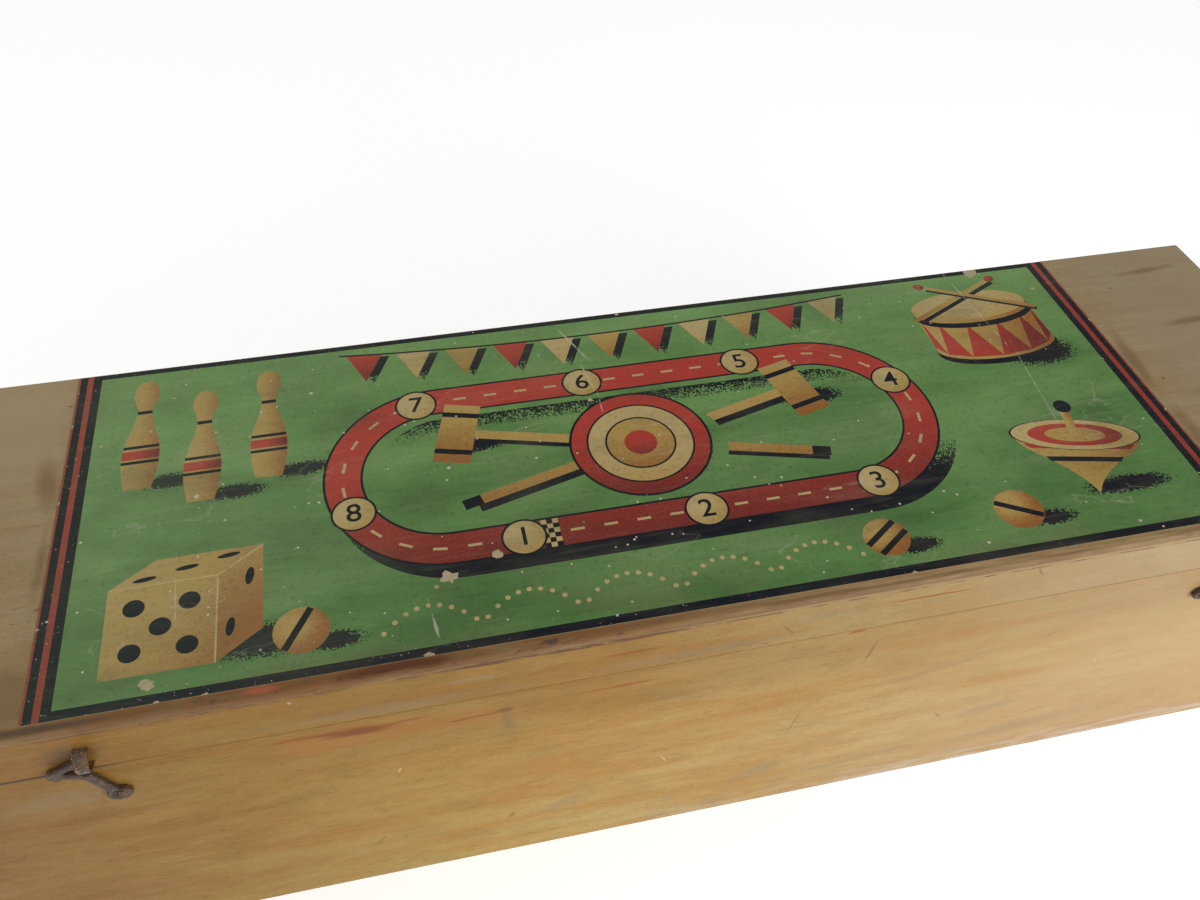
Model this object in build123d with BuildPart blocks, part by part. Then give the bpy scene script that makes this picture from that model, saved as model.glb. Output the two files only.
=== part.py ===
from build123d import *

import math
import os

# Long wooden game box with a hinged lid, two swing hooks and the playing pieces inside.
# Millimetres. X runs along the box, Y from the front to the back, Z up.
# The origin is the centre of the underside.

os.makedirs("parts", exist_ok=True)

# Case
LENGTH = 804.0
DEPTH = 230.0
HEIGHT = 206.0
LID_HEIGHT = 34.0
SIDE_BOARD = 9.0
END_BOARD = 12.0
TOP_BOARD = 6.0
BOTTOM_BOARD = 7.0
SEAM_GAP = 0.3
CORNER_ROUNDING = 2.0
ARRIS_ROUNDING = 1.4

# Printed label on the lid
LABEL_END_MARGIN = 102.0
LABEL_FRONT_MARGIN = 5.3
LABEL_BACK_MARGIN = 1.5
LABEL_THICKNESS = 0.25

# Swing hooks: a flat arm with an eye, and a beak that turns about the screw
LEFT_HOOK_INSET = 127.5
RIGHT_HOOK_INSET = 110.5
HOOK_BELOW_TOP = 56.4
HOOK_THICKNESS = 2.4
HOOK_STANDOFF = 0.6
HOOK_ARRIS = 0.6
HOOK_CREASE = 0.8
EYE_WIDTH = 8.8
EYE_STRETCH = 2.6
ARM_WIDTH = 4.6
ARM_LEAN = 22.5
ARM_REACH = 20.6
STRAND_WIDTH = 3.0
BEAK_RADIUS = 32.5
BEAK_WIDTH = 3.8
LOBE_RADIUS = 3.8
LOBE_LEAN = 39.8
LOBE_REACH = 31.6
BEAK_CLEARANCE = 0.5

# Round-head screw that each hook turns on
SCREW_SHANK_RADIUS = 1.9
SCREW_HEAD_RADIUS = 3.2
SCREW_HEAD_HEIGHT = 1.8
SCREW_DEPTH = 7.0
RUNNING_FIT = 0.1
WOOD_FIT = 0.05

# Staples on the lid that the beaks turn into
STAPLE_OFFSET = 5.3
STAPLE_RISE = 33.5
STAPLE_TOP_WIDTH = 6.6
STAPLE_FOOT_WIDTH = 4.6
STAPLE_STRAP = 1.5
STAPLE_INNER_RADIUS = 5.1
STAPLE_STRAIGHT = 1.4
STAPLE_LEG = 6.5

# Butt hinges, screwed flat on the back
HINGE_INSET = 150.0
HINGE_LENGTH = 40.0
LEAF_HEIGHT = 15.0
LEAF_THICKNESS = 1.2
KNUCKLE_RADIUS = 2.6
KNUCKLE_GAP = 0.3
KNUCKLE_STANDOFF = 0.15
PIN_RADIUS = 1.3
PIN_HEAD_RADIUS = 1.9
PIN_HEAD = 0.8
PIN_FIT = 0.05
NOTCH_CLEARANCE = 0.5
HINGE_SCREW_SHANK = 1.3
HINGE_SCREW_HEAD = 2.6
HINGE_SCREW_HEAD_HEIGHT = 1.0
HINGE_SCREW_DEPTH = 6.5
HINGE_SCREW_PITCH = 24.0
HINGE_SCREW_RISE = 10.0

# Playing pieces
WALL_CLEARANCE = 3.0
REST_GAP = 0.1
BALL_RADIUS = 18.0
ARCH_SPAN = 50.0
ARCH_SPRING = 22.0
ARCH_POST = 12.0
ARCH_THICKNESS = 28.0
ARCH_CROWN = 14.0
SINGLE_ARCH_RING = 17.0
COPING_OVERHANG = 3.0
COPING_HEIGHT = 6.0
GABLE_RISE = 18.0
GATE_HEIGHT = 78.0
GATE_LINTEL = 12.0
GATE_RAIL = 8.0
HOUSE_WIDTH = 86.0
HOUSE_DEPTH = 88.0
HOUSE_HEIGHT = 60.0
ROOF_OVERHANG = 3.0
ROOF_RISE = 32.0
ROOF_EAVE = 4.0
WINDOW_WIDTH = 22.0
WINDOW_HEIGHT = 20.0
WINDOW_SILL = 22.0
WINDOW_DEPTH = 3.0
RAMP_LENGTH = 110.0
RAMP_DEPTH = 80.0
RAMP_HEIGHT = 36.0
RAMP_LIP = 3.0
RAMP_CURB = 6.0
RAMP_CURB_HEIGHT = 7.0
BRIDGE_LENGTH = 150.0
BRIDGE_DEPTH = 64.0
BRIDGE_RISE = 54.0
BRIDGE_END = 4.0
BRIDGE_CURB = 6.0
BRIDGE_CURB_HEIGHT = 7.0
RING_RADIUS = 50.0
RING_WALL = 6.0
RING_HEIGHT = 26.0
RING_BASE = 5.0
RING_GATE = 40.0
RING_GATES = 2
DISC_RADIUS = 46.0
DISC_HEIGHT = 14.0
DISC_RIM = 3.0
DISC_EDGE = 4.0
CUP_RADIUS = 20.0
CUP_FLOOR = 3.0
CLUB_RADIUS = 8.0
CLUB_BEND_RADIUS = 48.0
CLUB_BEND = 65.0
CLUB_TOE = 22.0
CLUB_GAP = 1.0
CLUB_BUTT_GAP = 33.0
TOE_CLEARANCE = 36.0

# Places that follow from the sizes
FRONT = -DEPTH / 2
BACK = DEPTH / 2
SEAM = HEIGHT - LID_HEIGHT
RAIL_BOTTOM = SEAM + SEAM_GAP
RAIL_TOP = HEIGHT - TOP_BOARD
FLOOR = BOTTOM_BOARD
INNER_LENGTH = LENGTH - 2 * END_BOARD
INNER_FRONT = FRONT + SIDE_BOARD
INNER_BACK = BACK - SIDE_BOARD
INNER_DEPTH = INNER_BACK - INNER_FRONT
LABEL_LENGTH = LENGTH - 2 * LABEL_END_MARGIN
LEFT_HOOK_X = LEFT_HOOK_INSET - LENGTH / 2
RIGHT_HOOK_X = LENGTH / 2 - RIGHT_HOOK_INSET
HOOK_Z = HEIGHT - HOOK_BELOW_TOP
STAPLE_Z = HOOK_Z + STAPLE_RISE
STAPLE_OUTER_RADIUS = STAPLE_INNER_RADIUS + STAPLE_STRAP
STAPLE_MEAN_HALF = (STAPLE_TOP_WIDTH + STAPLE_FOOT_WIDTH) / 4
STAPLE_TAPER = (STAPLE_TOP_WIDTH - STAPLE_FOOT_WIDTH) / (4 * STAPLE_OUTER_RADIUS)
HINGE_X = LENGTH / 2 - HINGE_INSET
HINGE_Y = BACK + KNUCKLE_RADIUS + KNUCKLE_STANDOFF
KNUCKLE_LENGTH = (HINGE_LENGTH - 2 * KNUCKLE_GAP) / 3
HINGE_SCREW_XS = [
    side * HINGE_X + step * HINGE_SCREW_PITCH / 2 for side in (-1, 1) for step in (-1, 1)
]
BEAK_CAP = BEAK_WIDTH / 2
BEAK_TIP_OUT = STAPLE_OFFSET + STAPLE_MEAN_HALF + BEAK_CLEARANCE + BEAK_CAP
BEAK_TIP_LEAN = math.degrees(math.asin(BEAK_TIP_OUT / BEAK_RADIUS))
ARCH_HEIGHT = ARCH_SPRING + ARCH_SPAN / 2 + ARCH_CROWN
ARCH_PITCH = ARCH_SPAN + ARCH_POST
SINGLE_WIDTH = ARCH_SPAN + 2 * SINGLE_ARCH_RING
DOUBLE_WIDTH = 2 * ARCH_PITCH + ARCH_POST
TRIPLE_WIDTH = 3 * ARCH_PITCH + ARCH_POST
GATE_WIDTH = ARCH_SPAN + 2 * ARCH_POST
GATE_RAIL_BOTTOM = ARCH_SPRING + ARCH_SPAN / 2
CLUB_WIDTH = 2 * CLUB_RADIUS
CLUB_ZONE = 2 * (CLUB_WIDTH + CLUB_GAP)
FRONT_ROW = INNER_FRONT + WALL_CLEARANCE
ARCH_ROW_FRONT = INNER_BACK - CLUB_ZONE - WALL_CLEARANCE - ARCH_THICKNESS
HOUSE_FRONT = FRONT_ROW + ROOF_OVERHANG
RING_Y = FRONT_ROW + RING_RADIUS
DISC_Y = FRONT_ROW + DISC_RADIUS
BALL_Y = FRONT_ROW + BALL_RADIUS
BALL_Z = FLOOR + BALL_RADIUS + REST_GAP
CLUB_Z = FLOOR + CLUB_RADIUS + REST_GAP
CLUB_REACH = INNER_LENGTH / 2 - WALL_CLEARANCE - CLUB_RADIUS
TOE_X = CLUB_BEND_RADIUS * math.sin(math.radians(CLUB_BEND)) + CLUB_TOE * math.cos(math.radians(CLUB_BEND))
CLUB_BEND_X = CLUB_REACH - TOE_X
CLUB_BUTT_X = CLUB_BEND_X - CLUB_BUTT_GAP - CLUB_RADIUS
ARCH_ROW_LENGTH = 2 * (CLUB_BEND_X - TOE_CLEARANCE)


def write(piece, name):
    """Label a finished piece and write its file."""
    piece.part.label = name
    export_step(piece.part, f"parts/{name}.step")


def spread(widths, span):
    """Centres of pieces of these widths, with equal gaps, along a span about zero."""
    gap = (span - sum(widths)) / (len(widths) + 1)
    centres = []
    edge = -span / 2
    for width in widths:
        centres.append(edge + gap + width / 2)
        edge += gap + width
    return centres


def facing(x, y, z, outward):
    """Plane at a point, parallel to the front, that faces forward (-1) or backward (1)."""
    return Plane((x, y, z), x_dir=(1, 0, 0), z_dir=(0, outward, 0))


def across(axis_x, face_y, axis_z, outward):
    """Plane through an axis that leaves the front or back face: x is radial, y is outward."""
    return Plane((axis_x, face_y, axis_z), x_dir=(1, 0, 0), z_dir=(0, 0, outward))


def screw(plane, shank, depth, seat, head, head_height):
    """Revolve one round-head screw about the plane's y axis, with its head on the seat."""
    dome = (head**2 + head_height**2) / (2 * head_height)
    with BuildSketch(plane) as profile:
        with BuildLine():
            Polyline((0, seat + head_height), (0, -depth), (shank, -depth), (shank, seat), (head, seat))
            RadiusArc((head, seat), (0, seat + head_height), -dome)
        make_face()
    revolve(profile.sketch, axis=Axis(plane.origin, plane.y_dir))


def strap(low, high, fit=0):
    """The staple's tapered strap as seen from the front, between two heights about its middle."""
    low_half = STAPLE_MEAN_HALF + STAPLE_TAPER * low + fit
    high_half = STAPLE_MEAN_HALF + STAPLE_TAPER * high + fit
    low, high = low - fit, high + fit
    Polygon((-low_half, low), (low_half, low), (high_half, high), (-high_half, high), align=None)


# Case boards
with BuildPart() as front_board:
    with BuildSketch(Plane.XY):
        with Locations((0, FRONT + SIDE_BOARD / 2)):
            Rectangle(LENGTH, SIDE_BOARD)
    extrude(amount=SEAM)
    outer_corners = front_board.edges().filter_by(Axis.Z).group_by(Axis.Y)[0]
    fillet(outer_corners, CORNER_ROUNDING)
    for hook_x in (LEFT_HOOK_X, RIGHT_HOOK_X):
        with BuildSketch(facing(hook_x, FRONT, HOOK_Z, -1)):
            Circle(SCREW_SHANK_RADIUS + WOOD_FIT)
        extrude(amount=-(SCREW_DEPTH + WOOD_FIT), mode=Mode.SUBTRACT)
write(front_board, "front_board")

with BuildPart() as back_board:
    with BuildSketch(Plane.XY):
        with Locations((0, BACK - SIDE_BOARD / 2)):
            Rectangle(LENGTH, SIDE_BOARD)
    extrude(amount=SEAM)
    outer_corners = back_board.edges().filter_by(Axis.Z).group_by(Axis.Y)[-1]
    fillet(outer_corners, CORNER_ROUNDING)
    for screw_x in HINGE_SCREW_XS:
        with BuildSketch(facing(screw_x, BACK, SEAM - HINGE_SCREW_RISE, 1)):
            Circle(HINGE_SCREW_SHANK + WOOD_FIT)
        extrude(amount=-(HINGE_SCREW_DEPTH + WOOD_FIT), mode=Mode.SUBTRACT)
write(back_board, "back_board")

for side, name in ((-1, "left_end_board"), (1, "right_end_board")):
    with BuildPart() as end_board:
        with BuildSketch(Plane.XY):
            with Locations((side * (LENGTH - END_BOARD) / 2, 0)):
                Rectangle(END_BOARD, INNER_DEPTH)
        extrude(amount=SEAM)
    write(end_board, name)

with BuildPart() as bottom_board:
    with BuildSketch(Plane.XY):
        Rectangle(INNER_LENGTH, INNER_DEPTH)
    extrude(amount=BOTTOM_BOARD)
write(bottom_board, "bottom_board")

# Lid boards
with BuildPart() as lid_top_board:
    with BuildSketch(Plane.XY.offset(RAIL_TOP)):
        RectangleRounded(LENGTH, DEPTH, CORNER_ROUNDING)
    extrude(amount=TOP_BOARD)
    fillet(lid_top_board.faces().sort_by(Axis.Z)[-1].edges(), ARRIS_ROUNDING)
write(lid_top_board, "lid_top_board")

with BuildPart() as lid_front_rail:
    with BuildSketch(Plane.XY.offset(RAIL_BOTTOM)):
        with Locations((0, FRONT + SIDE_BOARD / 2)):
            Rectangle(LENGTH, SIDE_BOARD)
    extrude(amount=RAIL_TOP - RAIL_BOTTOM)
    outer_corners = lid_front_rail.edges().filter_by(Axis.Z).group_by(Axis.Y)[0]
    fillet(outer_corners, CORNER_ROUNDING)
    for hook_x, out in ((LEFT_HOOK_X, -1), (RIGHT_HOOK_X, 1)):
        with BuildSketch(facing(hook_x + out * STAPLE_OFFSET, FRONT, STAPLE_Z, -1)):
            strap(STAPLE_INNER_RADIUS, STAPLE_OUTER_RADIUS, WOOD_FIT)
            strap(-STAPLE_OUTER_RADIUS, -STAPLE_INNER_RADIUS, WOOD_FIT)
        extrude(amount=-(STAPLE_LEG + WOOD_FIT), mode=Mode.SUBTRACT)
write(lid_front_rail, "lid_front_rail")

with BuildPart() as lid_back_rail:
    with BuildSketch(Plane.XY.offset(RAIL_BOTTOM)):
        with Locations((0, BACK - SIDE_BOARD / 2)):
            Rectangle(LENGTH, SIDE_BOARD)
    extrude(amount=RAIL_TOP - RAIL_BOTTOM)
    outer_corners = lid_back_rail.edges().filter_by(Axis.Z).group_by(Axis.Y)[-1]
    fillet(outer_corners, CORNER_ROUNDING)
    for screw_x in HINGE_SCREW_XS:
        with BuildSketch(facing(screw_x, BACK, SEAM + HINGE_SCREW_RISE, 1)):
            Circle(HINGE_SCREW_SHANK + WOOD_FIT)
        extrude(amount=-(HINGE_SCREW_DEPTH + WOOD_FIT), mode=Mode.SUBTRACT)
write(lid_back_rail, "lid_back_rail")

for side, name in ((-1, "lid_left_rail"), (1, "lid_right_rail")):
    with BuildPart() as lid_end_rail:
        with BuildSketch(Plane.XY.offset(RAIL_BOTTOM)):
            with Locations((side * (LENGTH - END_BOARD) / 2, 0)):
                Rectangle(END_BOARD, INNER_DEPTH)
        extrude(amount=RAIL_TOP - RAIL_BOTTOM)
    write(lid_end_rail, name)

with BuildPart() as label:
    with BuildSketch(Plane.XY.offset(HEIGHT)):
        with Locations((0, (LABEL_FRONT_MARGIN - LABEL_BACK_MARGIN) / 2)):
            Rectangle(LABEL_LENGTH, DEPTH - LABEL_FRONT_MARGIN - LABEL_BACK_MARGIN)
    extrude(amount=LABEL_THICKNESS)
write(label, "label")


# Swing hooks
def beak_edge(radius, first, last, out):
    """Arc about the screw, between two angles from the vertical."""
    return CenterArc((0, 0), radius, 90 - out * first, -out * (last - first))


def lean(reach, angle, out):
    """Point at this reach from the screw, leaning this much from the vertical."""
    return (out * reach * math.sin(math.radians(angle)), reach * math.cos(math.radians(angle)))


for hook_x, out, name in ((LEFT_HOOK_X, -1, "left_hook"), (RIGHT_HOOK_X, 1, "right_hook")):
    arm_end = Vector(*lean(ARM_REACH, ARM_LEAN, out))
    lobe = Vector(*lean(LOBE_REACH, LOBE_LEAN, out))
    arm_turn = 90 - out * ARM_LEAN
    strand = lobe - arm_end
    strand_middle = (lobe + arm_end) / 2
    strand_turn = math.degrees(math.atan2(strand.Y, strand.X))
    with BuildPart() as hook:
        with BuildSketch(facing(hook_x, FRONT - HOOK_STANDOFF, HOOK_Z, -1)):
            SlotCenterToCenter(EYE_STRETCH, EYE_WIDTH)
            with Locations(Location(arm_end / 2, (0, 0, arm_turn))):
                SlotCenterToCenter(ARM_REACH, ARM_WIDTH)
            with Locations(Location(strand_middle, (0, 0, strand_turn))):
                SlotCenterToCenter(strand.length, STRAND_WIDTH)
            with Locations(lobe):
                Circle(LOBE_RADIUS)
            with BuildLine():
                outer = beak_edge(BEAK_RADIUS + BEAK_CAP, BEAK_TIP_LEAN, LOBE_LEAN, out)
                inner = beak_edge(BEAK_RADIUS - BEAK_CAP, BEAK_TIP_LEAN, LOBE_LEAN, out)
                Line(outer @ 0, inner @ 0)
                Line(outer @ 1, inner @ 1)
            make_face()
            with Locations(lean(BEAK_RADIUS, BEAK_TIP_LEAN, out)):
                Circle(BEAK_CAP)
            offset(amount=HOOK_CREASE, kind=Kind.ARC, mode=Mode.REPLACE)
            offset(amount=-HOOK_CREASE, kind=Kind.ARC, mode=Mode.REPLACE)
            Circle(SCREW_SHANK_RADIUS + RUNNING_FIT, mode=Mode.SUBTRACT)
        extrude(amount=HOOK_THICKNESS)
        rim = hook.faces().sort_by(Axis.Y)[0].outer_wire().edges()
        chamfer(rim, HOOK_ARRIS)
    write(hook, name)

with BuildPart() as hook_screws:
    for hook_x in (LEFT_HOOK_X, RIGHT_HOOK_X):
        screw(
            across(hook_x, FRONT, HOOK_Z, -1),
            SCREW_SHANK_RADIUS,
            SCREW_DEPTH,
            HOOK_STANDOFF + HOOK_THICKNESS + RUNNING_FIT,
            SCREW_HEAD_RADIUS,
            SCREW_HEAD_HEIGHT,
        )
write(hook_screws, "hook_screws")

for hook_x, out, name in ((LEFT_HOOK_X, -1, "left_staple"), (RIGHT_HOOK_X, 1, "right_staple")):
    eye_centre = (hook_x + out * STAPLE_OFFSET, FRONT, STAPLE_Z)
    with BuildPart() as staple:
        with BuildSketch(Plane(eye_centre, x_dir=(0, -1, 0), z_dir=(-1, 0, 0))):
            with BuildLine():
                bow = CenterArc((STAPLE_STRAIGHT, 0), STAPLE_OUTER_RADIUS, -90, 180)
                eye = CenterArc((STAPLE_STRAIGHT, 0), STAPLE_INNER_RADIUS, -90, 180)
                for end, side in ((0, -1), (1, 1)):
                    outer_toe = (-STAPLE_LEG, side * STAPLE_OUTER_RADIUS)
                    inner_toe = (-STAPLE_LEG, side * STAPLE_INNER_RADIUS)
                    Polyline(bow @ end, outer_toe, inner_toe, eye @ end)
            make_face()
        extrude(amount=STAPLE_TOP_WIDTH / 2, both=True)
        with BuildSketch(facing(*eye_centre, -1)):
            strap(-STAPLE_OUTER_RADIUS, STAPLE_OUTER_RADIUS)
        extrude(amount=STAPLE_LEG + STAPLE_OUTER_RADIUS, both=True, mode=Mode.INTERSECT)
    write(staple, name)


# Butt hinges
def hinge_leaf(centre_x, up, knuckle_steps):
    """One leaf on the back, the lid's if up is 1 and the case's if -1, with knuckles at these steps."""
    pitch = KNUCKLE_LENGTH + KNUCKLE_GAP
    with BuildSketch(Plane.XZ.offset(-BACK)) as plate:
        with Locations((centre_x, SEAM + up * LEAF_HEIGHT / 2)):
            Rectangle(HINGE_LENGTH, LEAF_HEIGHT)
        for step in (-1, 0, 1):
            if step not in knuckle_steps:
                with Locations((centre_x + step * pitch, SEAM)):
                    Rectangle(
                        KNUCKLE_LENGTH + 2 * KNUCKLE_GAP,
                        2 * (KNUCKLE_RADIUS + NOTCH_CLEARANCE),
                        mode=Mode.SUBTRACT,
                    )
        for step in (-1, 1):
            with Locations((centre_x + step * HINGE_SCREW_PITCH / 2, SEAM + up * HINGE_SCREW_RISE)):
                Circle(HINGE_SCREW_SHANK + WOOD_FIT, mode=Mode.SUBTRACT)
    extrude(plate.sketch, amount=-LEAF_THICKNESS)
    for step in knuckle_steps:
        with BuildSketch(Plane.YZ.offset(centre_x + step * pitch)) as knuckle:
            with Locations((HINGE_Y, SEAM)):
                Circle(KNUCKLE_RADIUS)
        extrude(knuckle.sketch, amount=KNUCKLE_LENGTH / 2, both=True)
    with BuildSketch(Plane.YZ.offset(centre_x)) as pin_way:
        with Locations((HINGE_Y, SEAM)):
            Circle(PIN_RADIUS + PIN_FIT)
    extrude(pin_way.sketch, amount=HINGE_LENGTH, both=True, mode=Mode.SUBTRACT)


with BuildPart() as case_hinge_leaves:
    for side in (-1, 1):
        hinge_leaf(side * HINGE_X, -1, (-1, 1))
write(case_hinge_leaves, "case_hinge_leaves")

with BuildPart() as lid_hinge_leaves:
    for side in (-1, 1):
        hinge_leaf(side * HINGE_X, 1, (0,))
write(lid_hinge_leaves, "lid_hinge_leaves")

with BuildPart() as hinge_pins:
    for side in (-1, 1):
        with BuildSketch(Plane.YZ.offset(side * HINGE_X)):
            with Locations((HINGE_Y, SEAM)):
                Circle(PIN_RADIUS)
        extrude(amount=HINGE_LENGTH / 2 + PIN_HEAD, both=True)
        for end in (-1, 1):
            with BuildSketch(Plane.YZ.offset(side * HINGE_X + end * HINGE_LENGTH / 2)):
                with Locations((HINGE_Y, SEAM)):
                    Circle(PIN_HEAD_RADIUS)
            extrude(amount=end * PIN_HEAD)
write(hinge_pins, "hinge_pins")

for up, name in ((-1, "case_hinge_screws"), (1, "lid_hinge_screws")):
    with BuildPart() as hinge_screws:
        for screw_x in HINGE_SCREW_XS:
            screw(
                across(screw_x, BACK, SEAM + up * HINGE_SCREW_RISE, 1),
                HINGE_SCREW_SHANK,
                HINGE_SCREW_DEPTH,
                LEAF_THICKNESS,
                HINGE_SCREW_HEAD,
                HINGE_SCREW_HEAD_HEIGHT,
            )
    write(hinge_screws, name)


# Playing pieces
def arch_opening(centre_x):
    """Cut-out of one arch in a sketch whose origin is on the floor."""
    with Locations((centre_x, ARCH_SPRING / 2)):
        Rectangle(ARCH_SPAN, ARCH_SPRING, mode=Mode.SUBTRACT)
    with Locations((centre_x, ARCH_SPRING)):
        Circle(ARCH_SPAN / 2, mode=Mode.SUBTRACT)


def upright(centre_x, front_y):
    """Plane on the floor for an outline that is extruded back from its front face."""
    return facing(centre_x, front_y, FLOOR, -1)


single_x, triple_x, double_x, gate_x = spread(
    [SINGLE_WIDTH, TRIPLE_WIDTH, DOUBLE_WIDTH + 2 * COPING_OVERHANG, GATE_WIDTH], ARCH_ROW_LENGTH
)
house_x, plain_ball_x, ramp_x, ring_x, bridge_x, disc_x, banded_ball_x = spread(
    [
        HOUSE_WIDTH + 2 * ROOF_OVERHANG,
        2 * BALL_RADIUS,
        RAMP_LENGTH,
        2 * RING_RADIUS,
        BRIDGE_LENGTH,
        2 * DISC_RADIUS,
        2 * BALL_RADIUS,
    ],
    INNER_LENGTH,
)

with BuildPart() as single_arch:
    with BuildSketch(upright(single_x, ARCH_ROW_FRONT)):
        with Locations((0, ARCH_SPRING / 2)):
            Rectangle(SINGLE_WIDTH, ARCH_SPRING)
        with Locations((0, ARCH_SPRING)):
            Circle(SINGLE_WIDTH / 2)
        with Locations((0, -SINGLE_WIDTH / 2)):
            Rectangle(SINGLE_WIDTH, SINGLE_WIDTH, mode=Mode.SUBTRACT)
        arch_opening(0)
    extrude(amount=-ARCH_THICKNESS)
write(single_arch, "single_arch")

with BuildPart() as double_arch:
    with BuildSketch(upright(double_x, ARCH_ROW_FRONT)):
        with Locations((0, ARCH_HEIGHT / 2)):
            Rectangle(DOUBLE_WIDTH, ARCH_HEIGHT)
        with Locations((0, ARCH_HEIGHT - COPING_HEIGHT / 2)):
            Rectangle(DOUBLE_WIDTH + 2 * COPING_OVERHANG, COPING_HEIGHT)
        for side in (-1, 1):
            arch_opening(side * ARCH_PITCH / 2)
    extrude(amount=-ARCH_THICKNESS)
write(double_arch, "double_arch")

with BuildPart() as triple_arch:
    with BuildSketch(upright(triple_x, ARCH_ROW_FRONT)):
        with BuildLine():
            Polyline(
                (-TRIPLE_WIDTH / 2, 0),
                (TRIPLE_WIDTH / 2, 0),
                (TRIPLE_WIDTH / 2, ARCH_HEIGHT),
                (ARCH_PITCH, ARCH_HEIGHT),
                (0, ARCH_HEIGHT + GABLE_RISE),
                (-ARCH_PITCH, ARCH_HEIGHT),
                (-TRIPLE_WIDTH / 2, ARCH_HEIGHT),
                close=True,
            )
        make_face()
        for step in (-1, 0, 1):
            arch_opening(step * ARCH_PITCH)
    extrude(amount=-ARCH_THICKNESS)
write(triple_arch, "triple_arch")

with BuildPart() as gate:
    with BuildSketch(upright(gate_x, ARCH_ROW_FRONT)):
        with Locations((0, GATE_HEIGHT / 2)):
            Rectangle(GATE_WIDTH, GATE_HEIGHT)
        for gap_bottom, gap_top in (
            (0, GATE_RAIL_BOTTOM),
            (GATE_RAIL_BOTTOM + GATE_RAIL, GATE_HEIGHT - GATE_LINTEL),
        ):
            with Locations((0, (gap_bottom + gap_top) / 2)):
                Rectangle(ARCH_SPAN, gap_top - gap_bottom, mode=Mode.SUBTRACT)
    extrude(amount=-ARCH_THICKNESS)
write(gate, "gate")

with BuildPart() as tunnel_house:
    with BuildSketch(upright(house_x, HOUSE_FRONT)):
        with Locations((0, HOUSE_HEIGHT / 2)):
            Rectangle(HOUSE_WIDTH, HOUSE_HEIGHT)
        arch_opening(0)
    extrude(amount=-HOUSE_DEPTH)
    for side in (-1, 1):
        with BuildSketch(Plane.YZ.offset(house_x + side * HOUSE_WIDTH / 2)):
            with Locations((HOUSE_FRONT + HOUSE_DEPTH / 2, FLOOR + WINDOW_SILL + WINDOW_HEIGHT / 2)):
                Rectangle(WINDOW_WIDTH, WINDOW_HEIGHT)
        extrude(amount=-side * WINDOW_DEPTH, mode=Mode.SUBTRACT)
write(tunnel_house, "tunnel_house")

with BuildPart() as house_roof:
    eave = HOUSE_WIDTH / 2 + ROOF_OVERHANG
    with BuildSketch(facing(house_x, FRONT_ROW, FLOOR + HOUSE_HEIGHT, -1)):
        with BuildLine():
            Polyline(
                (-eave, 0), (eave, 0), (eave, ROOF_EAVE), (0, ROOF_RISE), (-eave, ROOF_EAVE), close=True
            )
        make_face()
    extrude(amount=-(HOUSE_DEPTH + 2 * ROOF_OVERHANG))
write(house_roof, "house_roof")

with BuildPart() as ramp:
    half = RAMP_LENGTH / 2
    with BuildSketch(upright(ramp_x, FRONT_ROW)):
        with BuildLine():
            Polyline((-half, 0), (half, 0), (half, RAMP_HEIGHT), (-half, RAMP_LIP), close=True)
        make_face()
    extrude(amount=-RAMP_DEPTH)
    for curb_front in (FRONT_ROW, FRONT_ROW + RAMP_DEPTH - RAMP_CURB):
        with BuildSketch(upright(ramp_x, curb_front)):
            with BuildLine():
                Polyline(
                    (-half, 0),
                    (half, 0),
                    (half, RAMP_HEIGHT + RAMP_CURB_HEIGHT),
                    (-half, RAMP_LIP + RAMP_CURB_HEIGHT),
                    close=True,
                )
            make_face()
        extrude(amount=-RAMP_CURB)
write(ramp, "ramp")

with BuildPart() as hump_bridge:
    half = BRIDGE_LENGTH / 2
    for front_y, depth, raised in (
        (FRONT_ROW, BRIDGE_DEPTH, 0),
        (FRONT_ROW, BRIDGE_CURB, BRIDGE_CURB_HEIGHT),
        (FRONT_ROW + BRIDGE_DEPTH - BRIDGE_CURB, BRIDGE_CURB, BRIDGE_CURB_HEIGHT),
    ):
        with BuildSketch(upright(bridge_x, front_y)):
            with BuildLine():
                ThreePointArc(
                    (-half, BRIDGE_END + raised), (0, BRIDGE_RISE + raised), (half, BRIDGE_END + raised)
                )
                Polyline((half, BRIDGE_END + raised), (half, 0), (-half, 0), (-half, BRIDGE_END + raised))
            make_face()
        extrude(amount=-depth)
    with BuildSketch(upright(bridge_x, FRONT_ROW)):
        with Locations((0, BALL_RADIUS / 2)):
            Rectangle(ARCH_SPAN, BALL_RADIUS)
        with Locations((0, BALL_RADIUS)):
            Circle(ARCH_SPAN / 2)
        with Locations((0, -ARCH_SPAN / 2)):
            Rectangle(ARCH_SPAN, ARCH_SPAN, mode=Mode.SUBTRACT)
    extrude(amount=-BRIDGE_DEPTH, mode=Mode.SUBTRACT)
write(hump_bridge, "hump_bridge")

with BuildPart() as ring_target:
    with BuildSketch(Plane.XY.offset(FLOOR)):
        with Locations((ring_x, RING_Y)):
            Circle(RING_RADIUS)
    extrude(amount=RING_HEIGHT)
    with BuildSketch(Plane.XY.offset(FLOOR + RING_BASE)):
        with Locations((ring_x, RING_Y)):
            Circle(RING_RADIUS - RING_WALL)
            for turn in range(RING_GATES):
                Rectangle(2 * RING_RADIUS, RING_GATE, rotation=90 * turn)
    extrude(amount=RING_HEIGHT - RING_BASE, mode=Mode.SUBTRACT)
write(ring_target, "ring_target")

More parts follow.
